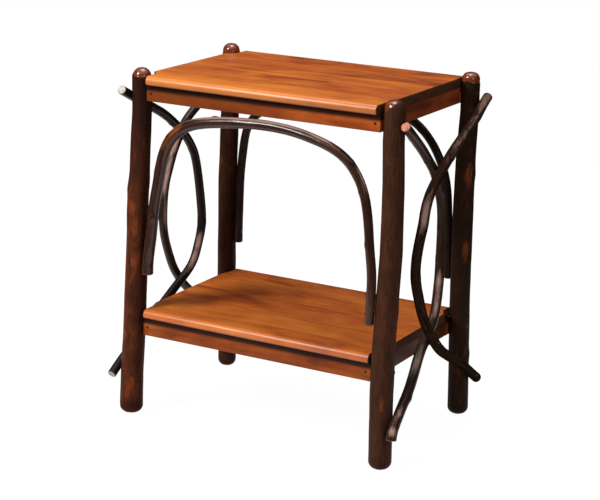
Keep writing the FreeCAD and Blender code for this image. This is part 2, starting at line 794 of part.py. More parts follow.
# An arch joins the two front posts and another the two rear ones, under the top frame.
# Their legs are nailed beside the posts, and the bare angles say where on the post's girth.
# A row holds the place along X as a share of half the shelf frame's length, and the height
# as a share of the arches' reach, which is a little more than the height under the top frame.
# The legs' shares set their sawn ends.
ARCH_REACH_SHARE = 1.0971
ARCHES = {
    "front_arch": {
        "posts": ("post_front_left", "post_front_right"),
        "contact_degrees": (-16.0, -31.0),
        "girth_shares": (1.13, 0.88),
        "leg_end_shares": (0.421, 0.3985),
        "course_shares": [
            (-0.913, 0.522),
            (-0.895, 0.58),
            (-0.873, 0.638),
            (-0.84, 0.7),
            (-0.803, 0.773),
            (-0.75, 0.813),
            (-0.7, 0.833),
            (-0.613, 0.855),
            (-0.525, 0.866),
            (-0.429, 0.873),
            (-0.226, 0.882),
            (0.035, 0.888),
            (0.346, 0.881),
            (0.501, 0.869),
            (0.642, 0.854),
            (0.738, 0.837),
            (0.803, 0.818),
            (0.845, 0.798),
            (0.876, 0.78),
            (0.903, 0.761),
            (0.926, 0.739),
            (0.944, 0.71),
            (0.968, 0.648),
            (0.981, 0.595),
            (0.998, 0.553),
            (1.003, 0.494),
        ],
    },
    "back_arch": {
        "posts": ("post_rear_left", "post_rear_right"),
        "contact_degrees": (0.0, 10.0),
        "girth_shares": (1.0, 1.0),
        "leg_end_shares": (0.4015, 0.397),
        "course_shares": [
            (-0.966, 0.505),
            (-0.966, 0.554),
            (-0.951, 0.604),
            (-0.934, 0.654),
            (-0.92, 0.692),
            (-0.912, 0.723),
            (-0.899, 0.749),
            (-0.865, 0.779),
            (-0.814, 0.797),
            (-0.751, 0.811),
            (-0.676, 0.826),
            (-0.45, 0.862),
            (-0.2, 0.878),
            (0.05, 0.882),
            (0.3, 0.874),
            (0.534, 0.852),
            (0.65, 0.829),
            (0.735, 0.8),
            (0.784, 0.776),
            (0.82, 0.754),
            (0.865, 0.722),
            (0.897, 0.689),
            (0.918, 0.644),
            (0.937, 0.534),
        ],
    },
}


ARCH_REACH = ARCH_REACH_SHARE * UNITS["top"]["apron_bottom"]
ARCH_LEAN_POWER = 4


class Arch:
    """An arch's course between two posts, with a nail through the lower end of each leg."""

    def __init__(self, name):
        self.name = name
        values = ARCHES[name]
        self.alias = name + "_diameter"
        self.nails = []
        self.towards_posts = []
        ends = []
        for index in (0, 1):
            height = values["leg_end_shares"][index] * ARCH_REACH + size("arch_nail_rise")
            post, post_radius = post_at(values["posts"][index], height)
            turn = math.radians(values["contact_degrees"][index])
            inwards = Vector((1 - 2 * index) * math.cos(turn), math.sin(turn), 0)
            radius = size(self.alias) * values["girth_shares"][index] / 2
            nail = post + inwards * (post_radius + radius + size("pole_gap"))
            self.nails.append(nail)
            self.towards_posts.append(inwards * -1)
            lean, lean_radius = post_at(values["posts"][index], height - size("arch_nail_rise"))
            ends.append(nail + (lean - post))
        self.ends = ends

    def share(self, point):
        """The arch's girth, which changes evenly from the left leg to the right one."""
        left, right = ARCHES[self.name]["girth_shares"]
        return left + (right - left) * (point.x - self.nails[0].x) / (self.nails[1].x - self.nails[0].x)

    def clear_of_posts(self, spot):
        """A place on a leg, moved along X where it would press into the post beside it."""
        for index, side in ((0, -1), (1, 1)):
            post, post_radius = post_at(ARCHES[self.name]["posts"][index], spot.z)
            reach = post_radius + size(self.alias) * self.share(spot) / 2 + size("pole_gap")
            if abs(spot.y - post.y) < reach:
                limit = post.x - side * math.sqrt(reach**2 - (spot.y - post.y) ** 2)
                spot = Vector(side * min(side * spot.x, side * limit), spot.y, spot.z)
        return spot

    def points(self):
        course = [self.ends[0], self.nails[0]]
        left, right = self.nails
        half_length = size("shelf_frame_length") / 2
        crown = max(row[1] for row in ARCHES[self.name]["course_shares"]) * ARCH_REACH
        for along_share, height_share in ARCHES[self.name]["course_shares"]:
            x = size("shelf_frame_shift") + along_share * half_length
            z = height_share * ARCH_REACH
            part = (x - left.x) / (right.x - left.x)
            lean = size("front_arch_lean") if self.name == "front_arch" else 0.0
            rise = (z - left.z) / (crown - left.z)
            bend = lean * rise**ARCH_LEAN_POWER
            spot = Vector(x, left.y + (right.y - left.y) * part + bend, z)
            course.append(self.clear_of_posts(spot))
        course.extend([self.nails[1], self.ends[1]])
        return course


arches = {name: Arch(name) for name in ARCHES}
arch_bodies = {}
for name, arch in arches.items():
    arch_bodies[name] = bent_pole(name, arch.points(), BACKWARDS, arch.alias, arch.share)


# Every nail and screw is one solid with a round head, sunk in a recess of the piece that it holds.
class Fastener:
    """A nail or a screw: the place under its head, the way it is driven, and its sizes."""

    def __init__(self, seat, way, kind, length):
        self.seat = seat
        self.way = way
        self.kind = kind
        self.length = length

    def solid(self, name):
        shank = doc.addObject("Part::Prism", name + "_shank")
        shank.Polygon = FASTENER_TURN_STEPS
        shank.setExpression("Circumradius", "Sizes.%s_diameter / 2" % self.kind)
        shank.Height = self.length
        shank.Placement = Placement(self.seat, Rotation(UP, self.way))
        head = doc.addObject("Part::Prism", name + "_head")
        head.Polygon = FASTENER_TURN_STEPS
        head.setExpression("Circumradius", "Sizes.%s_head_diameter / 2" % self.kind)
        head.setExpression("Height", "Sizes.%s_head_height" % self.kind)
        head.Placement = Placement(self.seat, Rotation(UP, self.way * -1))
        whole = doc.addObject("Part::Fuse", name)
        whole.Base = head
        whole.Tool = shank
        return whole

    def drill_through(self, body, reach):
        """The shank's hole through a piece, and the recess for the head in its near side."""
        overrun = size("cut_overrun")
        drill(body, self.seat, self.way, reach, self.kind + "_diameter")
        recess = size(self.kind + "_head_height") + overrun
        drill(body, self.seat, self.way * -1, recess, self.kind + "_head_diameter")

    def drill_into(self, body, start):
        """A blind hole for the shank, from a start along it to a little past its tip."""
        depth = self.length - start + size("tip_room")
        drill(body, self.seat + self.way * start, self.way, depth, self.kind + "_diameter")


GROUP_NAMES = ("apron_nails", "post_screws", "board_screws", "bow_nails", "arch_nails", "crossing_nails")
groups = {name: [] for name in GROUP_NAMES}

for name, bow in bows.items():
    for y, z in bow.nails:
        radius = bow.radius(z)
        way = Vector(-bow.side, 0, 0)
        outside = Vector(bow.nail_x((y, z)) + bow.side * radius, y, z)
        nail = Fastener(outside + way * size("nail_recess"), way, "nail", size("bow_nail_length"))
        through = 2 * radius - size("nail_recess") + size("pole_gap")
        nail.drill_through(bow_bodies[name], through)
        nail.drill_into(post_bodies[bow.post], through - size("pole_gap"))
        groups["bow_nails"].append(nail)

for inner_name, outer_name in PAIRS:
    inner, outer = bows[inner_name], bows[outer_name]
    for (y, z), spring in outer.crossings:
        radius = outer.radius(z)
        way = Vector(-outer.side, 0, 0)
        outside = Vector(outer.line_x(z) + spring + outer.side * radius, y, z)
        seat = outside + way * size("nail_recess")
        nail = Fastener(seat, way, "nail", size("crossing_nail_length"))
        through = 2 * radius - size("nail_recess") + size("pole_gap")
        nail.drill_through(bow_bodies[outer_name], through)
        nail.drill_into(bow_bodies[inner_name], through - size("pole_gap"))
        groups["crossing_nails"].append(nail)

for name, arch in arches.items():
    for index in (0, 1):
        way = arch.towards_posts[index]
        radius = size(arch.alias) * ARCHES[name]["girth_shares"][index] / 2
        outside = arch.nails[index] - way * radius
        nail = Fastener(outside + way * size("nail_recess"), way, "nail", size("bow_nail_length"))
        through = 2 * radius - size("nail_recess") + size("pole_gap")
        nail.drill_through(arch_bodies[name], through)
        nail.drill_into(post_bodies[ARCHES[name]["posts"][index]], through - size("pole_gap"))
        groups["arch_nails"].append(nail)

for unit, values in UNITS.items():
    for where, end in (("front", -1), ("back", 1)):
        for side_name, side in (("left", -1), ("right", 1)):
            x = values["face"][side] - side * size("apron_thickness") / 2
            way = Vector(0, -end, 0)
            face = Vector(x, values["line"][end], values["apron_middle"])
            nail = Fastener(face + way * size("nail_recess"), way, "nail", size("apron_nail_length"))
            through = size("apron_thickness") - size("nail_recess")
            nail.drill_through(apron_bodies[(unit, where)], through + size("tip_room"))
            nail.drill_into(apron_bodies[(unit, side_name)], through)
            groups["apron_nails"].append(nail)

SCREW_SET_SHARE = 0.35
for unit, values in UNITS.items():
    for post in POSTS:
        side, end = POSTS[post]["side"], POSTS[post]["end"]
        rail_middle = values["line"][end] - end * size("apron_thickness") / 2
        height = values["apron_middle"] + size("post_screw_rise")
        centre, radius = post_at(post, height)
        y = rail_middle + (centre.y - rail_middle) * SCREW_SET_SHARE
        way = Vector(-side, 0, 0)
        chord = math.sqrt(radius**2 - (centre.y - y) ** 2)
        outside = Vector(centre.x + side * chord, y, height)
        seat = outside + way * size("post_screw_recess")
        screw = Fastener(seat, way, "screw", size("post_screw_length"))
        through = abs(screw.seat.x - values["face"][side])
        screw.drill_through(post_bodies[post], through + size("tip_room"))
        rail = "front" if end < 0 else "back"
        screw.drill_into(apron_bodies[(unit, rail)], through)
        groups["post_screws"].append(screw)

for unit, values in UNITS.items():
    for side_name, side in (("left", -1), ("right", 1)):
        for end in (-1, 1):
            x = values["face"][side] - side * size("apron_thickness") / 2
            y = (values["line"][-1] + values["line"][1]) / 2 + end * size("board_screw_setback")
            under = Vector(x, y, values["apron_bottom"])
            height = values["apron_top"] - values["apron_bottom"]
            recess = size("screw_head_height")
            length = height - recess + size("board_thickness") - size("board_screw_cover")
            screw = Fastener(under + UP * recess, UP, "screw", length)
            screw.drill_through(apron_bodies[(unit, side_name)], height - recess + size("tip_room"))
            screw.drill_into(board_bodies[unit], height - recess)
            groups["board_screws"].append(screw)

for post in POSTS:
    cut_seats(post)
blanks = []
for bodies in (post_bodies, board_bodies, apron_bodies, arch_bodies, bow_bodies):
    blanks.extend(bodies.values())
pieces = [finished(blank) for blank in blanks]

for label, fasteners in groups.items():
    solids = [item.solid("%s_%d" % (label, number)) for number, item in enumerate(fasteners, start=1)]
    group = doc.addObject("Part::Compound", label)
    group.Label = label
    group.Links = solids
    pieces.append(group)
doc.recompute()

# The finished pieces are checked one by one before any of them is written.
for item in doc.Objects:
    if "Invalid" in item.State or "Error" in item.State:
        raise RuntimeError("%s did not build: %s" % (item.Name, item.State))
for piece in pieces:
    if piece.Shape.isNull() or not piece.Shape.isValid():
        raise RuntimeError("%s has no valid shape" % piece.Label)
    expected = len(groups.get(piece.Label, [None]))
    if len(piece.Shape.Solids) != expected:
        raise RuntimeError("%s holds %d solids" % (piece.Label, len(piece.Shape.Solids)))

os.makedirs("parts", exist_ok=True)
for piece in pieces:
    piece.Shape.exportStep("parts/%s.step" % piece.Label)
    print("%-22s %10.0f mm3" % (piece.Label, piece.Shape.Volume))
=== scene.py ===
import math

import bpy
import numpy as np
from mathutils import Matrix, Vector


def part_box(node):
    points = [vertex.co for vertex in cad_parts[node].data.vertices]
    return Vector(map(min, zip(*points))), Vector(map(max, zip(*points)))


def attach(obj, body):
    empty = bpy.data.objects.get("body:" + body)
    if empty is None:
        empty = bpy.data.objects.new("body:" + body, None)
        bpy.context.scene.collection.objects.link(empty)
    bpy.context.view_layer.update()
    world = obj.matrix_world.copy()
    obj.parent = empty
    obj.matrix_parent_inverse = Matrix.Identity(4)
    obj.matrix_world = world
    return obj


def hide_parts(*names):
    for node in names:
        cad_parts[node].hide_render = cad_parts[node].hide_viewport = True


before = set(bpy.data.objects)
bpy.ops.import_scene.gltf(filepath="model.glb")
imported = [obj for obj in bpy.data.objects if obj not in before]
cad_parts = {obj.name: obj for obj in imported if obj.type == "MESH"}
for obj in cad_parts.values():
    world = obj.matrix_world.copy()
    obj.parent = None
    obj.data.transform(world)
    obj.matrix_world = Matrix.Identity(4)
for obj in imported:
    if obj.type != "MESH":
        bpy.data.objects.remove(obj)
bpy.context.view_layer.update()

# The four posts: young hickory trunks with the bark left on, dried, rubbed smooth and lacquered.
# The tips are shaved bare and rounded into domes, and the feet are rounded. Each post has two flats,
# where the frames of the top and of the shelf are screwed to it.
MM = 0.001
POST_AROUND = 112
POST_ROW = 1.5 * MM


def node_mesh(name):
    """The corners and the edges of a CAD node's mesh, as two arrays."""
    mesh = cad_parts[name].data
    corners = np.zeros(len(mesh.vertices) * 3)
    mesh.vertices.foreach_get("co", corners)
    edges = np.zeros(len(mesh.edges) * 2, dtype=np.int64)
    mesh.edges.foreach_get("vertices", edges)
    return corners.reshape(-1, 3), edges.reshape(-1, 2)


def cut(mesh, values):
    """Points where a mesh's edges pass through zero: with values a and b at an edge's ends P and Q,
    the point is P + (Q - P) a / (a - b)."""
    corners, edges = mesh
    first, last = values[edges[:, 0]], values[edges[:, 1]]
    passing = (first > 0) != (last > 0)
    start, end = corners[edges[passing, 0]], corners[edges[passing, 1]]
    part = first[passing] / (first[passing] - last[passing])
    return start + (end - start) * part[:, None]


WIDEST_POLE = 32 * MM
NEARLY_UP = 0.9
COURSE_ROUNDS = 2


def directions(points):
    """The unit direction of a path at each of its points, from the step between its neighbours."""
    runs = np.gradient(points, axis=0)
    return runs / np.linalg.norm(runs, axis=1)[:, None]


def square_to(way):
    """Two directions square to one another and to a way: its cross product with Z, or with X where it
    is nearly upright, and its cross product with that."""
    side = np.cross(way, (0.0, 0.0, 1.0) if abs(way[2]) < NEARLY_UP else (1.0, 0.0, 0.0))
    side /= np.linalg.norm(side)
    return side, np.cross(way, side)


def all_round(count):
    """Even angles once round, from 0."""
    return np.linspace(0, 2 * np.pi, count, endpoint=False)


def read_course(name, field, count):
    """The middle line of a pole: the middles of cuts through it at even steps of a field, then of
    cuts square to the line so far. Gives the middles and the greatest reach from them."""
    mesh = node_mesh(name)
    values = field(mesh[0])
    levels = np.linspace(values.min(), values.max(), count + 2)[1:-1]
    cuts = [cut(mesh, values - level) for level in levels]
    middles = np.array([(c.min(0) + c.max(0)) / 2 for c in cuts])
    girths = np.zeros(count)
    for _ in range(COURSE_ROUNDS):
        runs = directions(middles)
        for i in range(count):
            near = cut(mesh, (mesh[0] - middles[i]) @ runs[i])
            near = near[np.linalg.norm(near - middles[i], axis=1) < WIDEST_POLE]
            side, other = square_to(runs[i])
            across, along = (near - middles[i]) @ side, (near - middles[i]) @ other
            shift = side * (across.max() + across.min()) / 2 + other * (along.max() + along.min()) / 2
            middles[i] = middles[i] + shift
            girths[i] = np.linalg.norm(near - middles[i], axis=1).max()
    return middles, girths


def waves(rows, columns, row_scale, column_scale, seed):
    """Smooth noise between -1 and 1 on a grid: random values at coarse knots, joined by
    (1 - cos) / 2 ramps. It closes on itself over the columns, and its last row stays just before the
    last knots."""
    rng = np.random.default_rng(seed)
    knots_down, knots_round = max(int(rows / row_scale), 1) + 2, max(int(columns / column_scale), 1)
    knots = rng.uniform(-1, 1, (knots_down, knots_round))
    down = np.linspace(0, knots_down - 1.001, rows)
    across = np.linspace(0, knots_round, columns, endpoint=False)
    i, j = down.astype(int), across.astype(int)
    u = ((1 - np.cos(np.pi * (down - i))) / 2)[:, None]
    v = ((1 - np.cos(np.pi * (across - j))) / 2)[None, :]
    after = (j + 1) % knots_round
    upper = knots[i][:, j] * (1 - v) + knots[i][:, after] * v
    lower = knots[i + 1][:, j] * (1 - v) + knots[i + 1][:, after] * v
    return upper * (1 - u) + lower * u


def swellings(rows, around, broad, narrow, seed):
    """Broad and narrow waves of two scales, added 0.65 to 0.35."""
    return 0.65 * waves(rows, around, *broad, seed) + 0.35 * waves(rows, around, *narrow, seed + 10)


def straight_pole(reach, turn, places):
    """A pole along its third column: the point at reach r, turn a and place t is (r cos a, r sin a, t)."""
    places = np.broadcast_to(places[:, None], reach.shape)
    return np.stack([reach * np.cos(turn), reach * np.sin(turn), places], axis=-1)


def resample(values, at, new_at):
    """Columns of values given at some lengths, read at new lengths by straight lines between them."""
    return np.stack([np.interp(new_at, at, column) for column in values.T], axis=1)


def spots(t, turn, marks):
    """Marks on a pole, each a strength times exp(-(dt / w)^2 - (dturn / s)^2). A row holds the place
    along the pole, the way round in degrees, the strength, w and s."""
    total = np.zeros((len(t), len(turn)))
    for at, way, strength, width, spread in marks:
        off = (turn - math.radians(way) + np.pi) % (2 * np.pi) - np.pi
        along = np.exp(-(((t - at) / width) ** 2))
        total += strength * along[:, None] * np.exp(-((off / spread) ** 2))[None, :]
    return total


def new_piece(name, corners, faces, smooth=True):
    """A piece of the table from its corners and faces, standing at the origin."""
    mesh = bpy.data.meshes.new(name)
    mesh.from_pydata(corners.tolist(), [], faces)
    mesh.polygons.foreach_set("use_smooth", np.full(len(mesh.polygons), smooth))
    piece = bpy.data.objects.new(name, mesh)
    bpy.context.scene.collection.objects.link(piece)
    return piece


def ring_walls(rows, around):
    """Quads between the rings of a grid: a corner, the next one round, and these two a ring on."""
    r, c = np.meshgrid(np.arange(rows - 1), np.arange(around), indexing="ij")
    after = (c + 1) % around
    walls = np.stack([r * around + c, r * around + after, (r + 1) * around + after, (r + 1) * around + c], -1)
    return walls.reshape(-1, 4)


def tube_faces(rows, around, first):
    """Faces of one closed tube whose rings are numbered from "first" on: quads between rings, and a
    fan at each end round a middle point that follows the rings."""
    c = np.arange(around)
    after = (c + 1) % around
    top = (rows - 1) * around
    low = np.stack([after, c, np.full(around, rows * around)], -1)
    high = np.stack([top + c, top + after, np.full(around, rows * around + 1)], -1)
    return [face for part in (ring_walls(rows, around), low, high) for face in (part + first).tolist()]


def closed_tubes(name, grids, tints=None):
    """One piece of closed tubes, each from a grid of rings. Tints are values or vectors per corner of
    the first tube, kept as attributes that its finish reads."""
    corners, faces = [], []
    first = 0
    for grid in grids:
        rows, around = grid.shape[:2]
        faces += tube_faces(rows, around, first)
        corners += [grid.reshape(-1, 3), grid[0].mean(0)[None], grid[-1].mean(0)[None]]
        first += rows * around + 2
    piece = new_piece(name, np.concatenate(corners), faces)
    for tint, values in (tints or {}).items():
        flat = values.reshape(-1, *values.shape[2:])
        whole = np.concatenate([flat, values[0].mean(0)[None], values[-1].mean(0)[None]])
        vector = whole.ndim == 2
        attribute = piece.data.attributes.new(tint, "FLOAT_VECTOR" if vector else "FLOAT", "POINT")
        attribute.data.foreach_set("vector" if vector else "value", whole.ravel())
    return piece


class Finish:
    """The nodes of one finish, with short ways to add to them."""

    def __init__(self, name, roughness=None, specular=0.5, coat=0.0):
        self.material = bpy.data.materials.new(name)
        self.material.use_nodes = True
        self.tree = self.material.node_tree
        self.shade = self.tree.nodes["Principled BSDF"]
        self.shade.inputs["Specular IOR Level"].default_value = specular
        self.shade.inputs["Coat Weight"].default_value = coat
        self.shade.inputs["Coat Roughness"].default_value = 0.15
        if roughness is not None:
            self.shade.inputs["Roughness"].default_value = roughness

    def node(self, kind, inputs=None, **settings):
        """A new node, with its settings, and with numbers or links put into its inputs."""
        node = self.tree.nodes.new("ShaderNode" + kind)
        for key, value in settings.items():
            setattr(node, key, value)
        for key, value in (inputs or {}).items():
            if isinstance(value, bpy.types.NodeSocket):
                self.tree.links.new(value, node.inputs[key])
            elif isinstance(value, tuple) and key in (6, 7):
                node.inputs[key].default_value = (*value, 1.0)
            else:
                node.inputs[key].default_value = value
        return node

    def attribute(self, name, output="Fac"):
        """A piece's attribute, read as a number, or as a place with "Vector"."""
        return self.node("Attribute", attribute_name=name).outputs[output]

    def object_place(self):
        """Where a point lies, in the object's own coordinates."""
        return self.node("TexCoord").outputs["Object"]

    def noise(self, source, scale, detail, roughness=0.55, distortion=0.0):
        """Noise drawn out along an axis: its coordinates are the source's times a scale for each axis."""
        drawn = self.node("Mapping", {"Vector": source, "Scale": scale}).outputs["Vector"]
        numbers = {"Scale": 1.0, "Detail": detail, "Roughness": roughness, "Distortion": distortion}
        return self.node("TexNoise", {"Vector": drawn, **numbers}).outputs["Fac"]

    def ramp(self, value, stops, interpolation="LINEAR"):
        """A colour ramp over a value, from (place, colour) stops."""
        node = self.node("ValToRGB", {"Fac": value})
        node.color_ramp.interpolation = interpolation
        while len(node.color_ramp.elements) < len(stops):
            node.color_ramp.elements.new(0.5)
        for element, (place, colour) in zip(node.color_ramp.elements, stops):
            element.position = place
            element.color = (*colour, 1.0)
        return node.outputs["Color"]

    def blend(self, factor, first, second):
        """Two colours mixed by a factor."""
        return self.node("Mix", {"Factor": factor, 6: first, 7: second}, data_type="RGBA").outputs[2]

    def level(self, value, low, high, start=0.0, end=1.0):
        """A value mapped from low..high on to start..end, and held there outside."""
        numbers = {"From Min": low, "From Max": high, "To Min": start, "To Max": end}
        return self.node("MapRange", {"Value": value, **numbers}).outputs["Result"]

    def lay(self, under, over, value, low, high, amount):
        """A colour laid over another, by 0 up to the amount as a value goes from low to high."""
        return self.blend(self.level(value, low, high, 0.0, amount), under, over)

    def maths(self, operation, *values):
        """Values joined by an operation. MULTIPLY_ADD gives the first times the second, plus the third."""
        return self.node("Math", dict(enumerate(values)), operation=operation).outputs["Value"]

    def relief(self, height, strength, distance):
        """Fine relief from a height, on the shader's normal."""
        bump = self.node("Bump", {"Height": height, "Strength": strength, "Distance": distance})
        self.tree.links.new(bump.outputs["Normal"], self.shade.inputs["Normal"])

    def use(self, socket, output):
        """Drive one of the shader's sockets with a result."""
        self.tree.links.new(output, self.shade.inputs[socket])


def tinted(colour, share):
    """A colour times a share, darker below 1 and lighter above."""
    return tuple(min(part * share, 1.0) for part in colour)


# Bare stained wood, from dark to light.
SHAVED = ((0.09, 0.016, 0.006), (0.2, 0.042, 0.012), (0.3, 0.082, 0.022))


def bark_finish(name, dark, mid, warm, warm_share, roughness, specular, coat, relief):
    """Lacquered bark: furrows along the pole, blotches, worn patches where the "patch" attribute says
    so, and shaved wood where the "bare" attribute does."""
    finish = Finish(name, specular=specular, coat=coat)
    along = finish.attribute("grain", "Vector")
    bare = finish.attribute("bare")
    furrow = finish.noise(along, (330, 330, 34), 7, 0.62, 0.5)
    cloud = finish.noise(along, (44, 44, 17), 4, 0.6, 0.8)
    blotch = finish.noise(along, (150, 150, 70), 5, 0.62, 0.6)
    fleck = finish.noise(along, (760, 760, 240), 5, 0.6)
    base = finish.ramp(furrow, [(0.28, tinted(mid, 0.55)), (0.5, mid), (0.76, tinted(mid, 1.4))])
    ragged = finish.maths("MULTIPLY_ADD", blotch, 0.45, cloud)
    reddish = finish.lay(base, warm, ragged, 0.86 - warm_share, 0.96 - warm_share, 0.85)
    worn = finish.maths("MULTIPLY_ADD", blotch, 1.6, finish.attribute("patch"))
    worn_tone = finish.ramp(furrow, [(0.36, warm), (0.6, (0.22, 0.052, 0.012)), (0.8, (0.3, 0.082, 0.021))])
    patched = finish.lay(reddish, worn_tone, worn, 1.22, 1.75, 0.9)
    shaded = finish.blend(finish.level(cloud, 0.3, 0.46, 0.5, 0.0), patched, dark)
    # Below 0 the patch attribute darkens the bark: darker bark, and in part painted shade on the sides turned
    # away from the lamps.
    darker_bark_and_shade = finish.level(finish.attribute("patch"), -1.0, 0.0, 0.9, 0.0)
    darkened = finish.blend(darker_bark_and_shade, shaded, dark)
    scuffed = finish.lay(darkened, tinted(mid, 2.2), fleck, 0.68, 0.82, 0.25)
    line = finish.noise(along, (240, 240, 20), 5, 0.6)
    wood = finish.ramp(line, [(0.3, SHAVED[0]), (0.55, SHAVED[1]), (0.8, SHAVED[2])])
    finish.use("Base Color", finish.blend(bare, scuffed, wood))
    rough = finish.level(fleck, 0.3, 0.75, roughness, roughness + 0.18)
    mixed = finish.node("Mix", {"Factor": bare, "A": rough, "B": 0.16})
    finish.use("Roughness", mixed.outputs["Result"])
    finish.relief(furrow, relief, 1.1 * MM)
    return finish.material


# A post's looks: the rounding of its tip in mm; its bark's dark, mid and warm colour, with the share
# of warm patches; and how far below the tip the bark stops, how much farther up it reaches on one
# side, both in mm, and that side in degrees. Knots and patches are rows for spots(): a knot's strength
# is its height in mm, and a patch is worn above 0 and darker below. The darker places are in part
# darker bark and in part painted shade, on the sides turned away from the lamps.
POST_LOOKS = {
    "post_front_left": {
        "crown": 17,
        "bark": ((0.02, 0.0065, 0.004), (0.08, 0.0205, 0.0088), (0.17, 0.034, 0.0095), 0.12),
        "bark_stop": (15.8, 1.5, 200),
        "knots": [(0.44, 200, 1.7, 0.02, 0.5), (0.395, 185, 1.4, 0.022, 0.6), (0.3, -60, 1.2, 0.012, 0.4)],
        "patches": [
            (0.62, 0, -1.0, 0.12, 9), (0.0, 0, -0.7, 0.03, 9), (0.25, -14, -0.85, 0.25, 0.42),
            (0.475, -75, -0.35, 0.03, 0.5), (0.335, -48, -0.5, 0.02, 0.4), (0.235, -70, -0.55, 0.03, 0.6),
            (0.19, -50, -0.6, 0.03, 0.6), (0.105, -50, -0.45, 0.02, 0.5), (0.02, -70, -0.4, 0.012, 0.8),
            (0.405, -88, 1.0, 0.022, 0.45), (0.36, -66, 1.05, 0.022, 0.45), (0.298, -72, 1.1, 0.014, 0.4),
            (0.155, -112, 1.0, 0.016, 0.45), (0.06, -62, 1.0, 0.022, 0.42), (0.33, 120, 0.5, 0.03, 0.4),
        ],
    },
    "post_front_right": {
        "crown": 14,
        "bark": ((0.018, 0.008, 0.005), (0.056, 0.0205, 0.0105), (0.095, 0.026, 0.011), 0.09),
        "bark_stop": (17, 16, -20),
        "knots": [
            (0.306, -62, 1.3, 0.012, 0.3), (0.285, 0, 1.8, 0.016, 0.5), (0.43, -110, 1.2, 0.012, 0.4),
            (0.122, -62, 0.9, 0.012, 0.25), (0.575, -55, 0.7, 0.006, 0.3),
        ],
        "patches": [
            (0.122, -60, 0.95, 0.018, 0.32), (0.308, -66, 0.6, 0.014, 0.26), (0.42, 110, 0.5, 0.03, 0.4),
            (0.62, 20, -0.5, 0.05, 0.6), (0.3, 25, -0.5, 0.3, 0.25),
        ],
    },
    "post_rear_left": {
        "crown": 15,
        "bark": ((0.012, 0.005, 0.003), (0.048, 0.0165, 0.0075), (0.12, 0.03, 0.01), 0.05),
        "bark_stop": (18.5, 2.0, 30),
        "knots": [(0.5, -40, 1.4, 0.015, 0.45), (0.35, 120, 1.3, 0.018, 0.5), (0.24, -100, 1.2, 0.014, 0.4)],
        "patches": [(0.43, -105, 0.65, 0.035, 0.35), (0.3, -30, -0.7, 0.2, 0.5), (0.2, 100, 0.5, 0.02, 0.4)],
    },
    "post_rear_right": {
        "crown": 12.5,
        "bark": ((0.008, 0.004, 0.0025), (0.026, 0.0105, 0.0055), (0.1, 0.026, 0.01), 0.03),
        "bark_stop": (18.0, 2.0, -120),
        "knots": [(0.47, 10, 1.6, 0.014, 0.4), (0.33, -95, 1.3, 0.016, 0.5), (0.12, 20, 1.4, 0.012, 0.4)],
        "patches": [
            (0.468, -40, 1.35, 0.026, 0.42), (0.326, -42, 1.1, 0.024, 0.36), (0.3, 90, 0.5, 0.03, 0.4),
        ],
    },
}
FOOT_ROUND = 14 * MM
BARK_EDGE = 1.2 * MM
CROWN_SHARE = 0.955
INSIDE_CAD = 0.985
# The post's own girth is read away from its foot, its tip and its flats.
POST_CUTS = 60
TIP_MARGIN = 19 * MM
SEAT_MARGIN = 12 * MM
SEAT_EDGE = 0.5 * MM
# Roughness, specular level, coat and the strength of the relief.
BARK_GLOSS = (0.48, 0.06, 0.0, 0.5)
CROWN_GLOSS = (0.3, 0.5, 0.35, 0.12)


def quarter_round(run):
    """How deep a quarter round cuts in, as a share of its radius, where its run is 0 to 1:
    1 - sqrt(1 - r^2)."""
    return 1 - np.sqrt(np.clip(1 - np.clip(run, 0, 1) ** 2, 0, 1))


turn = all_round(POST_AROUND)
seat_faces = []
bark_points = []
for unit in ("top", "shelf"):
    left_low, left_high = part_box(unit + "_left_apron")
    right_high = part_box(unit + "_right_apron")[1]
    seat_faces.append((left_low.x, right_high.x, left_low.z, left_high.z))

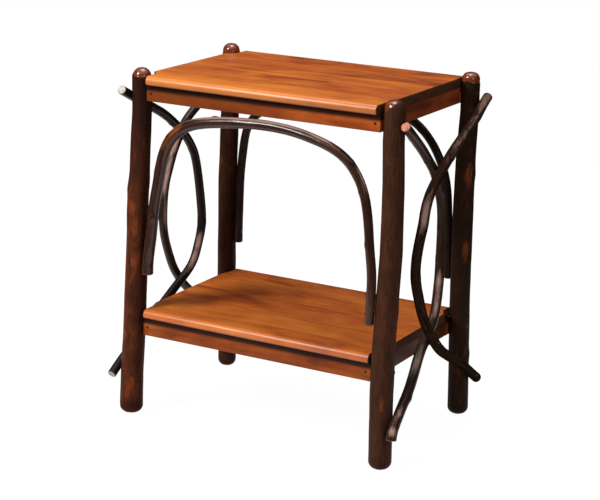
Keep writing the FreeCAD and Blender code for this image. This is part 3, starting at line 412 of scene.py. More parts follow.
for number, (name, looks) in enumerate(POST_LOOKS.items()):
    low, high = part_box(name)
    middles, girths = read_course(name, lambda corners: corners[:, 2], POST_CUTS)
    free = (middles[:, 2] > FOOT_ROUND) & (middles[:, 2] < high.z - TIP_MARGIN)
    for left_face, right_face, z0, z1 in seat_faces:
        free &= (middles[:, 2] < z0 - SEAT_MARGIN) | (middles[:, 2] > z1 + SEAT_MARGIN)
    rows = int((high.z - low.z) / POST_ROW)
    z = np.linspace(low.z, high.z, rows)
    middle = resample(middles[free], middles[free, 2], z)
    radius = np.interp(z, middles[free, 2], girths[free]) * INSIDE_CAD
    lumps = swellings(rows, POST_AROUND, (55, 28), (22, 11), 10 + number)
    ridges = waves(rows, POST_AROUND, 26, 3.0, 30 + number)
    fine = waves(rows, POST_AROUND, 5, 1.8, 35 + number)
    # Lumps, ridges, fine unevenness and knots, in mm.
    swell = (0.6 * lumps + 0.22 * ridges + 0.08 * fine + spots(z, turn, looks["knots"])) * MM
    stop, rise, way = looks["bark_stop"]
    crown = looks["crown"] * MM
    tongues, teeth = (waves(1, POST_AROUND, 1, wide, seed + number)[0] for wide, seed in ((14, 40), (4, 45)))
    ragged = 1.6 * tongues + 0.9 * teeth
    edge = high.z - (stop - rise * np.cos(turn - math.radians(way)) - ragged) * MM
    bare = np.clip((z[:, None] - edge[None, :]) / BARK_EDGE, 0, 1)
    bark_radius = radius[:, None] + swell
    bare_radius = radius[:, None] * CROWN_SHARE + 0.12 * MM * lumps
    reach = bark_radius * (1 - bare) + bare_radius * bare
    reach -= FOOT_ROUND * quarter_round(1 - (z - low.z) / FOOT_ROUND)[:, None]
    reach -= crown * quarter_round(1 - (high.z - z) / crown)[:, None]
    straight = straight_pole(reach, turn, z)
    grid = straight + np.stack([middle[:, 0], middle[:, 1], 0 * z], axis=-1)[:, None, :]
    for left_face, right_face, z0, z1 in seat_faces:
        band = (z > z0 - SEAT_EDGE) & (z < z1 + SEAT_EDGE)
        if middle[0, 0] < 0:
            grid[band, :, 0] = np.minimum(grid[band, :, 0], left_face)
        else:
            grid[band, :, 0] = np.maximum(grid[band, :, 0], right_face)
    bark_points.append(grid.reshape(-1, 3))
    tints = {"grain": straight + [number, 0, 0], "bare": bare, "patch": spots(z, turn, looks["patches"])}
    piece = closed_tubes(name + "_bark", [grid], tints)
    piece.data.materials.append(bark_finish(name + "_bark_finish", *looks["bark"], *BARK_GLOSS))
    piece.data.materials.append(bark_finish(name + "_crown_finish", *looks["bark"], *CROWN_GLOSS))
    walls_bare = ((bare[:-1] + bare[1:]) / 2 > 0.5).ravel()
    faces_bare = np.concatenate([walls_bare, np.zeros(POST_AROUND), np.ones(POST_AROUND)])
    piece.data.polygons.foreach_set("material_index", faces_bare.astype(np.int32))
    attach(piece, "root")
    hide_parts(name)

# The two boards: strips of sawn hickory glued edge to edge, planed, notched at the corners round the
# posts, with the front and back edges rounded to a full nosing. They are stained orange-brown and
# lacquered to a gloss, and each is screwed down on its frame from below.
ROUNDING_STEPS = 8
SHARP_WOOD = math.radians(32)


def board_section(depth, thickness, upper, lower, stops, inset):
    """A board's closed section: its upper half from front to back, then its lower half back again. A
    rounding of radius r lies r (1 - cos a) behind the edge and r (1 - sin a) from the face. An inset
    moves the section inwards and takes as much off its radii."""
    angle = np.linspace(0, np.pi / 2, ROUNDING_STEPS)
    halves = []
    for radius, face, way in ((upper, thickness - inset, -1), (lower, inset, 1)):
        bulge = (radius - inset) * (1 - np.cos(angle)) - (depth / 2 - inset)
        sink = face + way * (radius - inset) * (1 - np.sin(angle))
        y = np.concatenate([bulge, stops, -bulge[::-1]])
        z = np.concatenate([sink, np.full(len(stops), face), sink[::-1]])
        halves.append(np.stack([y, z], axis=1))
    return np.concatenate([halves[0], halves[1][::-1]])


def sawn_board(name, middle, depth, thickness, end_at, radii, stops, ease, turned=False):
    """A board along X from its section. Its ends lie at end_at(side, y), and close with a rounding: the
    section shrinks by e (1 - cos a) while its place moves out to the end less e (1 - sin a). A turned
    board runs along Y, by (x, y) to (-y, x)."""
    angle = np.linspace(0, np.pi / 2, ROUNDING_STEPS)
    columns = []
    for side, order in ((-1, angle[::-1]), (1, angle)):
        for a in order:
            section = board_section(depth, thickness, *radii, stops, ease * (1 - math.cos(a)))
            x = end_at(side, section[:, 0]) - side * ease * (1 - math.sin(a))
            columns.append(np.column_stack([x, section]))
    grid = np.array(columns)
    if turned:
        grid = np.stack([-grid[..., 1], grid[..., 0], grid[..., 2]], axis=-1)
    across, count = grid.shape[:2]
    walls = ring_walls(across, count)[:, [0, 3, 2, 1]]
    k = np.arange(count // 2 - 1)
    cap = np.stack([k, count - 1 - k, count - 2 - k, k + 1], -1)
    faces = walls.tolist() + (cap + (across - 1) * count).tolist() + cap[:, ::-1].tolist()
    piece = new_piece(name, grid.reshape(-1, 3) + np.array(middle), faces)
    row = np.repeat(np.arange(across - 1), count)
    at_end = (row < ROUNDING_STEPS - 1) | (row >= across - ROUNDING_STEPS)
    ends = np.concatenate([at_end, np.ones(2 * len(cap), dtype=bool)])
    piece.data.polygons.foreach_set("material_index", ends.astype(np.int32))
    piece.data.set_sharp_from_angle(angle=SHARP_WOOD)
    return piece


def sawn_wood(name, colours, strips, looks, golden=None, turned=False, seed=0.0):
    """Stained, lacquered hickory: flames and fine pores drawn out along the board, darker streaks, and
    strips glued side by side, each with a tone and a grain of its own. Looks are the roughness, the
    specular level and a painted shadow: near black laid on towards a height, standing for shade.
    "golden" is a band of another tone along the front edge, which fades to the right."""
    roughness, specular, shadow = looks
    finish = Finish(name, specular=specular)
    place = finish.object_place()
    parts = finish.node("SeparateXYZ", {"Vector": place})
    across = parts.outputs["X" if turned else "Y"]
    greys = [(start, (grey,) * 3) for start, grey in strips]
    tone = finish.ramp(finish.level(across, -0.2, 0.2), greys, "CONSTANT")
    shift = finish.node("VectorMath", {0: tone, 1: (7.3, 3.1, 5.7)}, operation="MULTIPLY").outputs["Vector"]
    moved = finish.node("VectorMath", {0: place, 1: shift}, operation="ADD").outputs["Vector"]
    source = finish.node("Mapping", {"Vector": moved, "Location": (seed, seed, seed)}).outputs["Vector"]

    def along(scale):
        """A scale for a board along X, or with its first two parts changed over for one along Y."""
        return (scale[1], scale[0], scale[2]) if turned else scale

    flame = finish.noise(source, along((4.5, 19, 19)), 5, 0.56, 1.4)
    cloud = finish.noise(source, along((9, 15, 15)), 3, 0.55, 0.6)
    line = finish.noise(source, along((7, 130, 90)), 6, 0.62, 0.5)
    pores = finish.noise(source, along((50, 900, 600)), 3, 0.55)
    figure = finish.maths("MULTIPLY_ADD", cloud, 0.5, finish.maths("MULTIPLY", flame, 0.62))
    toned = finish.maths("MULTIPLY_ADD", finish.maths("SUBTRACT", tone, 0.56), 0.26, figure)
    broad = finish.ramp(toned, list(zip((0.35, 0.46, 0.56, 0.67), colours)))
    lined = finish.lay(broad, colours[0], line, 0.5, 0.72, 0.5)
    if golden:
        near, far, amount, tint = golden
        sway = finish.maths("MULTIPLY_ADD", finish.noise(source, (4, 9, 9), 3, 0.5), 0.07, parts.outputs["Y"])
        fade = finish.level(parts.outputs["X"], -0.05, 0.2, amount, amount * 0.25)
        band = finish.maths("MULTIPLY", finish.level(sway, near + 0.035, far + 0.035, 1.0, 0.0), fade)
        lined = finish.blend(band, lined, tint)
    # Painted shadow: near black laid over the colour towards a height.
    if shadow:
        low, high, amount = shadow
        lined = finish.lay(lined, (0.012, 0.004, 0.003), parts.outputs["Z"], low, high, amount)
    pored = finish.lay(lined, tinted(colours[0], 0.45), pores, 0.58, 0.74, 0.4)
    finish.use("Base Color", pored)
    finish.use("Roughness", finish.level(line, 0.3, 0.8, roughness, roughness + 0.1))
    finish.relief(line, 0.1, 0.5 * MM)
    return finish.material


def end_grain(name, colour):
    """Cut ends of the wood, which take up more stain and keep less gloss: fine dark pores on a dark tone.
    The dark tone is partly the stain taken up and partly painted shade, as on ends turned away from the
    key lamp."""
    finish = Finish(name, specular=0.05)
    place = finish.object_place()
    rings = finish.noise(place, (60, 60, 240), 4, 0.6, 0.4)
    pores = finish.noise(place, (1100, 1100, 1100), 3, 0.6)
    toned = finish.ramp(rings, [(0.3, tinted(colour, 0.6)), (0.7, tinted(colour, 1.3))])
    finish.use("Base Color", finish.lay(toned, tinted(colour, 0.35), pores, 0.5, 0.7, 0.6))
    finish.use("Roughness", finish.level(pores, 0.3, 0.7, 0.5, 0.7))
    finish.relief(pores, 0.2, 0.3 * MM)
    return finish.material


ON_LINE = 0.05 * MM
CORNER_FROM = (0.15, 0.05)


def notch_stops(name):
    """A board's notches, read off the lower face of its CAD node: for each corner (side, end), the wall
    and where the straight and the slanted part end along Y."""
    corners, _ = node_mesh(name)
    base = corners[np.abs(corners[:, 2] - corners[:, 2].min()) < ON_LINE][:, :2]
    low, high = base.min(0), base.max(0)
    notches = {}
    for side in (-1, 1):
        for end in (-1, 1):
            rim = high[0] if side > 0 else low[0]
            line = high[1] if end > 0 else low[1]
            mine = base[(base[:, 0] * side > CORNER_FROM[0]) & (base[:, 1] * end > CORNER_FROM[1])]
            on_line = mine[np.abs(mine[:, 1] - line) < ON_LINE]
            wall = on_line[np.argmax(on_line[:, 0] * side)][0]
            on_wall = mine[np.abs(mine[:, 0] - wall) < ON_LINE]
            on_rim = mine[np.abs(mine[:, 0] - rim) < ON_LINE]
            inner = on_wall[np.argmin(on_wall[:, 1] * end)][1]
            outer = on_rim[np.argmax(on_rim[:, 1] * end)][1]
            notches[side, end] = (wall, inner, outer, rim)
    return notches


# The nosing's radii above and below, as shares of the thickness, and the rounding of the ends.
NOSING_SHARES = (0.52, 0.43)
BOARD_EASE = 2 * MM
BOARD_ROUGHNESS, BOARD_SPECULAR = 0.33, 0.62
# Painted shade along the lower edge, where the nosing turns downwards: from one share of the thickness down
# to another, so strongly.
EDGE_SHADOW = (0.26, 0.06, 0.85)
# The cut ends' colour: partly darker stain, partly painted shade.
BOARD_ENDS = (0.08, 0.03, 0.014)
# A board's looks: four colours from dark to light; its strips, each with where it starts, as a share
# of 0.4 m from front to back, and its tone; the golden band's start, end, amount and colour; a seed.
BOARD_LOOKS = {
    "top_board": (
        ((0.21, 0.036, 0.006), (0.4, 0.08, 0.01), (0.52, 0.122, 0.014), (0.63, 0.17, 0.02)),
        [(0.0, 0.58), (0.24, 0.42), (0.43, 0.55), (0.6, 0.34), (0.78, 0.42)],
        (-0.155, -0.085, 0.55, (0.74, 0.23, 0.028)),
        0.0,
    ),
    # The shelf's colours are lighter than the top's, though both are one stain: painted light on the shelf
    # under the top.
    "shelf_board": (
        ((0.3, 0.05, 0.008), (0.54, 0.108, 0.013), (0.68, 0.16, 0.02), (0.8, 0.215, 0.028)),
        [(0.0, 0.45), (0.2, 0.6), (0.38, 0.42), (0.57, 0.6), (0.8, 0.3)],
        (-0.12, -0.04, 0.3, (0.8, 0.24, 0.032)),
        0.37,
    ),
}
for name, (colours, strips, golden, seed) in BOARD_LOOKS.items():
    low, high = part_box(name)
    notches = notch_stops(name)
    middle = (low + high) / 2
    stops = np.array(sorted({y - middle.y for notch in notches.values() for y in notch[1:3]}))

    def board_end(side, y):
        """The board's end in X at each y: the walls of its notches, their slants, and the rim between."""
        front, back = notches[side, -1], notches[side, 1]
        at = [front[1], front[2], back[2], back[1]]
        return np.interp(y + middle.y, at, [front[0], front[3], back[3], back[0]])

    thickness = high.z - low.z
    centre = (0, middle.y, low.z)
    nosing = [share * thickness for share in NOSING_SHARES]
    depth = high.y - low.y
    piece = sawn_board(name + "_planed", centre, depth, thickness, board_end, nosing, stops, BOARD_EASE)
    # The lower edge's painted shade, as heights on this board.
    start, full, amount = EDGE_SHADOW
    shadow = (low.z + start * thickness, low.z + full * thickness, amount)
    looks = (BOARD_ROUGHNESS, BOARD_SPECULAR, shadow)
    finish = sawn_wood(name + "_stain", colours, strips, looks, golden, seed=seed)
    piece.data.materials.append(finish)
    piece.data.materials.append(end_grain(name + "_end_grain", BOARD_ENDS))
    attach(piece, "root")
    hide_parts(name)

# The eight aprons: sawn strips on edge under the boards, stained red-brown. The front and back ones
# are nailed into the ends of the side ones, with the heads sunk in bored holes, and the side ones are
# bored from below for the screws that hold the board.
APRON_ROUNDINGS = (0.5 * MM, 1.6 * MM)
APRON_EASE = 0.4 * MM
# Colours from dark to light. The side aprons' colours are darker than the front ones' by painted shade, as
# for the right side, which faces away from the key lamp.
APRON_COLOURS = {
    ("top", "front"): ((0.26, 0.046, 0.008), (0.5, 0.096, 0.014), (0.68, 0.15, 0.02), (0.8, 0.21, 0.029)),
    ("shelf", "front"): (
        (0.13, 0.024, 0.006), (0.24, 0.046, 0.009), (0.34, 0.074, 0.013), (0.46, 0.115, 0.02)
    ),
    ("top", "side"): ((0.08, 0.015, 0.006), (0.16, 0.03, 0.01), (0.23, 0.046, 0.013), (0.3, 0.066, 0.017)),
    ("shelf", "side"): ((0.05, 0.014, 0.007), (0.1, 0.026, 0.011), (0.15, 0.04, 0.015), (0.2, 0.055, 0.018)),
}
APRON_ENDS = (0.07, 0.018, 0.008)
APRON_STRIP = [(0.0, 0.5), (1.0, 0.5)]
# The top's front apron is darker towards its left end, by the same kind of band as a board has.
TOP_FRONT_BAND = (0.0, 0.05, 0.84, (0.13, 0.024, 0.006))
# Painted shadow of the board's overhang on the top of a front or back apron: how far under the board it
# starts to darken, how far it is darkest, and how strongly.
PAINTED_SHADOW_UNDER_BOARD = (12.5 * MM, 7 * MM, 0.95)
LONGEST_FASTENER = 70 * MM
BORE_AROUND = 28
BORE_ROOM = 0.15 * MM
BORE_START = -5 * MM
HEAD_DEPTHS = {"apron_nails": 1.2 * MM, "board_screws": 2.6 * MM}
AT_FACE = 2 * MM


def fasteners_in(name):
    """The nails or screws of a CAD node, told apart by distance: for each, the middle of its head's
    face, the way it is driven, its length and its head's radius. The way is the long axis of its
    corners."""
    left = np.unique(np.round(node_mesh(name)[0], 6), axis=0)
    found = []
    while len(left):
        near = np.linalg.norm(left - left[0], axis=1) < LONGEST_FASTENER
        one, left = left[near], left[~near]
        middle = one.mean(0)
        way = np.linalg.svd(one - middle)[2][0]
        along = (one - middle) @ way
        reach = np.linalg.norm(one - middle - along[:, None] * way, axis=1)
        if along[np.argmax(reach)] > 0:
            way, along = -way, -along
        found.append((middle + way * along.min(), way, np.ptp(along), reach.max()))
    return found


def turned_rows(top, way, profile, around):
    """Rings turned round an axis: the point (s, r) of the profile goes to
    top + s way + r (side cos + up sin)."""
    side, up = square_to(way)
    spin = all_round(around)
    ring = side * np.cos(spin)[:, None] + up * np.sin(spin)[:, None]
    s, r = np.array(profile).T
    return top + s[:, None, None] * way + r[:, None, None] * ring[None]


def bored(piece, holes):
    """The piece with round holes taken out of it, given as turned rows."""
    cutter = closed_tubes("bore", holes)
    boring = piece.modifiers.new("boring", "BOOLEAN")
    boring.operation = "DIFFERENCE"
    boring.solver = "EXACT"
    boring.object = cutter
    graph = bpy.context.evaluated_depsgraph_get()
    mesh = bpy.data.meshes.new_from_object(piece.evaluated_get(graph))
    piece.modifiers.clear()
    mesh.name = piece.data.name
    piece.data = mesh
    mesh.set_sharp_from_angle(angle=SHARP_WOOD)
    bpy.data.objects.remove(cutter)


apron_finishes = {}
for unit in ("top", "shelf"):
    low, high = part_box(unit + "_front_apron")
    start, full, amount = PAINTED_SHADOW_UNDER_BOARD
    # The board's painted shadow on the apron, as heights.
    shade = (high.z - start, high.z - full, amount)
    apron_finishes[unit, "ends"] = end_grain(unit + "_apron_end_grain", APRON_ENDS)
    for where, looks, seed in (("front", (0.36, 0.12, shade), 0.2), ("side", (0.36, 0.06, None), 0.6)):
        name = "%s_%s_apron_stain" % (unit, where)
        band = TOP_FRONT_BAND if (unit, where) == ("top", "front") else None
        apron_finishes[unit, where] = sawn_wood(
            name, APRON_COLOURS[unit, where], APRON_STRIP, looks, band, where == "side", seed + high.z
        )
    for where in ("front", "back", "left", "right"):
        name = "%s_%s_apron" % (unit, where)
        low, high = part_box(name)
        turned = where in ("left", "right")
        length, depth = (high.y - low.y, high.x - low.x) if turned else (high.x - low.x, high.y - low.y)
        centre = ((low.x + high.x) / 2, (low.y + high.y) / 2, low.z)
        stops = np.array([-depth / 4, depth / 4])
        piece = sawn_board(
            name + "_sawn", centre, depth, high.z - low.z, lambda side, y: np.full(len(y), side * length / 2),
            APRON_ROUNDINGS, stops, APRON_EASE, turned,
        )
        node = "board_screws" if turned else "apron_nails"
        face = low.y if where == "front" else high.y
        holes = []
        for top, way, _, head in fasteners_in(node):
            inside = low.x < top[0] < high.x if turned else abs(top[1] - face) < AT_FACE
            if inside and low.z - MM < top[2] < high.z:
                bore = [(reach, head + BORE_ROOM) for reach in (BORE_START, HEAD_DEPTHS[node] + BORE_ROOM)]
                holes.append(turned_rows(top, way, bore, BORE_AROUND))
        bored(piece, holes)
        piece.data.materials.clear()
        piece.data.materials.append(apron_finishes[unit, "side" if turned else "front"])
        piece.data.materials.append(apron_finishes[unit, "ends"])
        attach(piece, "root")
        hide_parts(name)

# The bent poles: two arches and four side bows of thin hickory saplings, bent green and dried, with
# the smooth young bark left on under satin lacquer. They are nailed beside the posts and where they
# cross, and their sawn ends show pale wood.
POLE_AROUND = 56
POLE_ROW = 1.4 * MM
END_EASE = 1.2 * MM
POLE_CUTS = 90
END_REACH = 40 * MM
ARCH_CENTRE = 0.2
YOUNG_ROUGHNESS = 0.27
# Small knots stand all along a pole: how far the first is from one end, and the last at least from
# the other, the step between them, and how far each may be off it.
FIRST_KNOT, LAST_KNOT, KNOT_STEP, KNOT_SHIFT = 0.05, 0.03, 0.075, 0.02
# A nail draws the bark in round its head: how deep, in millimetres, and how wide.
DIMPLE_DEPTH, DIMPLE_WIDTH = 1.5, 3.4 * MM
# A pole's looks: its bark's dark, mid and warm colour, share of warm patches and specular level; its
# ends' colour; and rows for spots() for knots, worn patches and pale places of painted highlight,
# counted from an arch's left foot or a bow's upper end.
POLE_LOOKS = {
    "front_arch": {
        "bark": ((0.014, 0.006, 0.004), (0.05, 0.019, 0.0115), (0.13, 0.034, 0.012), 0.03, 0.42),
        "roughness": 0.14,
        "sawn": (0.3, 0.12, 0.06),
        "knots": [(0.37, 92, 2.3, 0.006, 0.32), (0.26, 150, 0.8, 0.02, 0.8), (0.655, 120, 1.0, 0.012, 0.6)],
        "patches": [
            (0.285, 140, 1.1, 0.022, 0.9), (0.255, 160, 0.7, 0.016, 0.8), (0.615, 118, 1.1, 0.011, 0.5),
        ],
        "pale": [
            (0.35, 112, 1.6, 0.05, 0.3), (0.43, 114, 2.3, 0.05, 0.3), (0.51, 114, 2.1, 0.05, 0.28),
            (0.585, 114, 2.2, 0.02, 0.28), (0.685, 104, 1.5, 0.025, 0.26),
        ],
    },
    "back_arch": {
        "bark": ((0.008, 0.004, 0.003), (0.024, 0.011, 0.007), (0.07, 0.02, 0.009), 0.02, 0.15),
        "sawn": (0.3, 0.12, 0.06),
        "knots": [],
        "patches": [(0.15, 60, 0.8, 0.02, 0.5)],
        "pale": [],
    },
    "right_front_bow": {
        "bark": ((0.013, 0.007, 0.005), (0.042, 0.02, 0.012), (0.09, 0.028, 0.012), 0.02, 0.14),
        "sawn": (0.66, 0.23, 0.13),
        "knots": [(0.62, -25, 1.6, 0.008, 0.5), (0.215, 20, 1.2, 0.01, 0.5)],
        "patches": [],
        "pale": [
            (0.385, 66, 0.9, 0.02, 0.6), (0.43, 67, 1.1, 0.03, 0.6), (0.55, 66, 0.8, 0.035, 0.6),
            (0.66, 65, 0.7, 0.02, 0.6), (0.695, 66, 1.3, 0.007, 0.7),
        ],
    },
    "right_rear_bow": {
        "bark": ((0.011, 0.006, 0.004), (0.031, 0.0155, 0.0095), (0.07, 0.024, 0.011), 0.01, 0.0),
        "sawn": (0.24, 0.13, 0.08),
        "knots": [(0.04, -30, 1.2, 0.008, 0.5)],
        "patches": [],
        "pale": [(0.02, -120, 0.6, 0.04, 1.2), (0.15, -124, 0.5, 0.09, 0.7), (0.335, -114, 1.4, 0.032, 0.7)],
    },
    "left_front_bow": {
        "bark": ((0.006, 0.004, 0.003), (0.017, 0.0095, 0.0075), (0.05, 0.02, 0.012), 0.01, 0.15),
        "sawn": (0.55, 0.5, 0.44),
        "knots": [(0.447, 10, 1.4, 0.009, 0.6)],
        "patches": [],
        "pale": [(0.485, 60, 1.0, 0.02, 0.7), (0.53, 57, 1.2, 0.03, 0.7)],
    },
    "left_rear_bow": {
        "bark": ((0.01, 0.006, 0.004), (0.03, 0.015, 0.01), (0.09, 0.028, 0.014), 0.02, 0.22),
        "sawn": (0.35, 0.22, 0.16),
        "knots": [(0.225, -140, 0.9, 0.006, 0.5)],
        "patches": [],
        "pale": [(0.2, -126, 1.1, 0.03, 0.6), (0.27, -125, 1.3, 0.035, 0.6), (0.34, -160, 0.9, 0.03, 0.4)],
    },
}


def steady_frames(points):
    """Two directions square to a path at each of its points, carried along without twisting: the side
    before, less its part along the path, and the path's cross product with it."""
    runs = directions(points)
    side = square_to(runs[0])[0]
    sides = np.zeros_like(points)
    for i, run in enumerate(runs):
        side = side - run * (side @ run)
        side /= np.linalg.norm(side)
        sides[i] = side
    return sides, np.cross(runs, sides)


def arc_length(points):
    """Distance along a path from its first point to each of its points."""
    return np.concatenate(([0.0], np.cumsum(np.linalg.norm(np.diff(points, axis=0), axis=1))))


def bend(straight, length, middles, sides, ups):
    """Carry a straight pole, which runs along its third column, on to a path: the point (a, b, t)
    goes to M(t) + a S(t) + b U(t), with S and U the path's two side directions."""
    t = straight[..., 2].ravel()
    place = resample(middles, length, t)
    side, up = resample(sides, length, t), resample(ups, length, t)
    a, b = straight[..., 0].ravel(), straight[..., 1].ravel()
    return (place + a[:, None] * side + b[:, None] * up).reshape(straight.shape)


def young_bark(name, dark, mid, warm, warm_share, gloss, sawn, roughness):
    """Smooth young bark: faint streaks along the pole, worn places where the "patch" attribute says so,
    a painted highlight in pale pink where the "pale" attribute and random mottles say so, darker
    knots, and a pale sawn face at each end."""
    finish = Finish(name, specular=gloss)
    along = finish.attribute("grain", "Vector")
    streaks = finish.noise(along, (300, 300, 16), 6, 0.62, 0.4)
    cloud = finish.noise(along, (60, 60, 16), 4, 0.58, 0.6)
    blotch = finish.noise(along, (170, 170, 60), 5, 0.62, 0.6)
    fleck = finish.noise(along, (900, 900, 240), 4, 0.6)
    base = finish.ramp(streaks, [(0.32, dark), (0.52, mid), (0.74, tinted(mid, 1.6))])
    ragged = finish.maths("MULTIPLY_ADD", blotch, 0.4, cloud)
    reddish = finish.lay(base, warm, ragged, 0.84 - warm_share, 0.95 - warm_share, 0.8)
    worn = finish.maths("MULTIPLY_ADD", blotch, 0.8, finish.attribute("patch"))
    worn_colours = (tinted(warm, 0.9), (0.24, 0.062, 0.016), (0.4, 0.13, 0.04))
    worn_tone = finish.ramp(streaks, list(zip((0.34, 0.56, 0.78), worn_colours)))
    patched = finish.lay(reddish, worn_tone, worn, 0.72, 1.0, 0.9)
    # Painted highlight: pale pink laid over the bark where the mottle and the "pale" attribute are high.
    mottle = finish.maths("MULTIPLY_ADD", blotch, 1.1, finish.maths("MULTIPLY", streaks, 0.6))
    rubbed_and_highlight = finish.maths("ADD", mottle, finish.attribute("pale"))
    painted_highlight = finish.lay(patched, (0.5, 0.3, 0.24), rubbed_and_highlight, 1.12, 2.0, 0.95)
    shaded = finish.blend(finish.level(cloud, 0.32, 0.46, 0.5, 0.0), painted_highlight, dark)
    knotty = finish.lay(shaded, tinted(dark, 0.7), finish.attribute("knot"), 0.3, 1.0, 0.75)
    flecked = finish.lay(knotty, tinted(mid, 2.4), fleck, 0.62, 0.8, 0.3)
    rings = finish.noise(along, (900, 900, 5), 4, 0.6)
    grown = finish.maths("MULTIPLY_ADD", blotch, 0.8, finish.maths("MULTIPLY", rings, 0.3))
    face = finish.ramp(grown, [(0.42, tinted(sawn, 0.45)), (0.58, sawn)])
    finish.use("Base Color", finish.blend(finish.attribute("sawn"), flecked, face))
    finish.use("Roughness", finish.level(fleck, 0.3, 0.75, roughness, roughness + 0.13))
    finish.relief(streaks, 0.3, 0.7 * MM)
    return finish.material


def arch_angle(corners):
    """The way round an arch, from a point below the middle of its crown."""
    return np.arctan2(corners[:, 2] - ARCH_CENTRE, -corners[:, 0])


def pole_line(name):
    """A bent pole's middle line from end to end, smoothed, with its reach, its length so far and its
    two side directions. The ends go on straight to the last corners of the CAD node."""
    field = arch_angle if "arch" in name else (lambda corners: -corners[:, 2])
    middles, girths = read_course(name, field, POLE_CUTS)
    corners, _ = node_mesh(name)
    runs = directions(middles)
    ends = []
    for i, way in ((0, -1), (-1, 1)):
        close = corners[np.linalg.norm(corners - middles[i], axis=1) < END_REACH]
        ends.append(middles[i] + way * runs[i] * ((close - middles[i]) @ (way * runs[i])).max())
    middles = np.concatenate([ends[:1], middles, ends[1:]])
    girths = np.concatenate([[girths[1]], girths, [girths[-2]]])
    girths = np.array([np.median(girths[max(i - 3, 1) : i + 4]) for i in range(len(girths))])
    for _ in range(3):
        middles[1:-1] = (middles[:-2] + 2 * middles[1:-1] + middles[2:]) / 4
        girths[1:-1] = (girths[:-2] + 2 * girths[1:-1] + girths[2:]) / 4
    return middles, girths, arc_length(middles), *steady_frames(middles)


nails_in_poles = fasteners_in("bow_nails") + fasteners_in("crossing_nails") + fasteners_in("arch_nails")
for number, (name, looks) in enumerate(POLE_LOOKS.items()):
    middles, girths, length, sides, ups = pole_line(name)
    rows = int(length[-1] / POLE_ROW)
    t = np.linspace(0, length[-1], rows)
    spin = all_round(POLE_AROUND)
    radius = np.interp(t, length, girths) * INSIDE_CAD
    rng = np.random.default_rng(200 + number)
    marks = list(looks["knots"])
    for place in np.arange(FIRST_KNOT, length[-1] - LAST_KNOT, KNOT_STEP):
        place += rng.uniform(-KNOT_SHIFT, KNOT_SHIFT)
        marks.append((place, rng.uniform(0, 360), rng.uniform(0.4, 1.2), 0.006, 0.5))
    bumps = spots(t, spin, marks)
    # A nail is this pole's where its head lies about on the bark and it is driven inwards.
    dimples = []
    for top, way, _, _ in nails_in_poles:
        nearest = np.argmin(np.linalg.norm(middles - top, axis=1))
        off = top - middles[nearest]
        reach = girths[nearest]
        if np.linalg.norm(off) < reach * 1.15 and way @ off < -0.6 * reach:
            along = length[nearest] + off @ np.cross(sides[nearest], ups[nearest])
            turned_to = math.degrees(math.atan2(off @ ups[nearest], off @ sides[nearest]))
            dimples.append((along, turned_to, DIMPLE_DEPTH, DIMPLE_WIDTH, DIMPLE_WIDTH / reach))
    sunk = spots(t, spin, dimples)
    lumps = swellings(rows, POLE_AROUND, (50, 20), (18, 9), 210 + number)
    swell = 0.42 * lumps + 0.09 * waves(rows, POLE_AROUND, 14, 2.4, 230 + number)
    reach = radius[:, None] + (swell + bumps - sunk) * MM
    ease = np.maximum(np.clip(1 - t / END_EASE, 0, 1), np.clip(1 - (length[-1] - t) / END_EASE, 0, 1))
    reach = reach - END_EASE * (ease**1.5)[:, None]
    straight = straight_pole(reach, spin, t)
    # The flat sawn faces are rings that shrink to the middle.
    shrink = np.array([0.05, 0.45, 0.8])[:, None, None] * [1, 1, 0] + [0, 0, 1]
    straight = np.concatenate([straight[:1] * shrink, straight, straight[-1:] * shrink[::-1]])
    grid = bend(straight, length, middles, sides, ups)
    whole = np.ones((3, POLE_AROUND))
    tints = {
        "grain": straight + [number, 0, 0],
        "sawn": np.concatenate([whole, np.clip(ease * 2, 0, 1)[:, None] * np.ones(POLE_AROUND), whole]),
        "knot": np.concatenate([0 * whole, np.clip(bumps + 0.5 * sunk, 0, 1), 0 * whole]),
        "patch": np.concatenate([0 * whole, spots(t, spin, looks["patches"]), 0 * whole]),
        "pale": np.concatenate([0 * whole, spots(t, spin, looks["pale"]), 0 * whole]),
    }
    piece = closed_tubes(name + "_bark", [grid], tints)
    roughness = looks.get("roughness", YOUNG_ROUGHNESS)
    finish = young_bark(name + "_bark_finish", *looks["bark"], looks["sawn"], roughness)
    piece.data.materials.append(finish)
    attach(piece, "root")
    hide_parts(name)

# The nails and screws: plain steel darkened by the lacquer. A nail has a low domed head, and a screw a
# countersunk one with a cross recess. Round plugs of dark wood close the screws' holes in the posts.
HEAD_AROUND = 24
SHARP_STEEL = math.radians(40)
SCREW_RINGS = (0.08, 0.2, 0.32, 0.44, 0.56, 0.7, 0.85)
NAIL_SHANK = 1.3 * MM
POINT = 0.1 * MM
THREAD_START, THREAD_PITCH = 12 * MM, 1.8 * MM
RECESS_DEPTH = 1.8 * MM


def nail_profile(length, head):
    """Rows (s, r) from the middle of the domed head's face down to the point."""
    dome = [(0.35 * MM * share**2, head * share) for share in (0.12, 0.35, 0.6, 0.8)]
    shank = [(0.6 * MM, head), (1.15 * MM, head * 0.97), (1.2 * MM, NAIL_SHANK)]
    return dome + shank + [(length - 4 * MM, NAIL_SHANK), (length, POINT)]


def screw_profile(length, head):
    """The same for a screw, with the thread as rings that swell and shrink by turns."""
    face = [(0.0, head * share) for share in SCREW_RINGS]
    cone = [(0.15 * MM, head * 0.98), (0.6 * MM, head), (2.5 * MM, 2.2 * MM)]
    turns = np.arange(int((length - THREAD_START - 6 * MM) / THREAD_PITCH))
    thread = []
    for place in THREAD_START + turns * THREAD_PITCH:
        thread += [(place, 1.5 * MM), (place + 0.75 * THREAD_PITCH, 2.05 * MM)]
    return face + cone + [(THREAD_START - 0.5 * MM, 2.0 * MM)] + thread + [(length, POINT)]


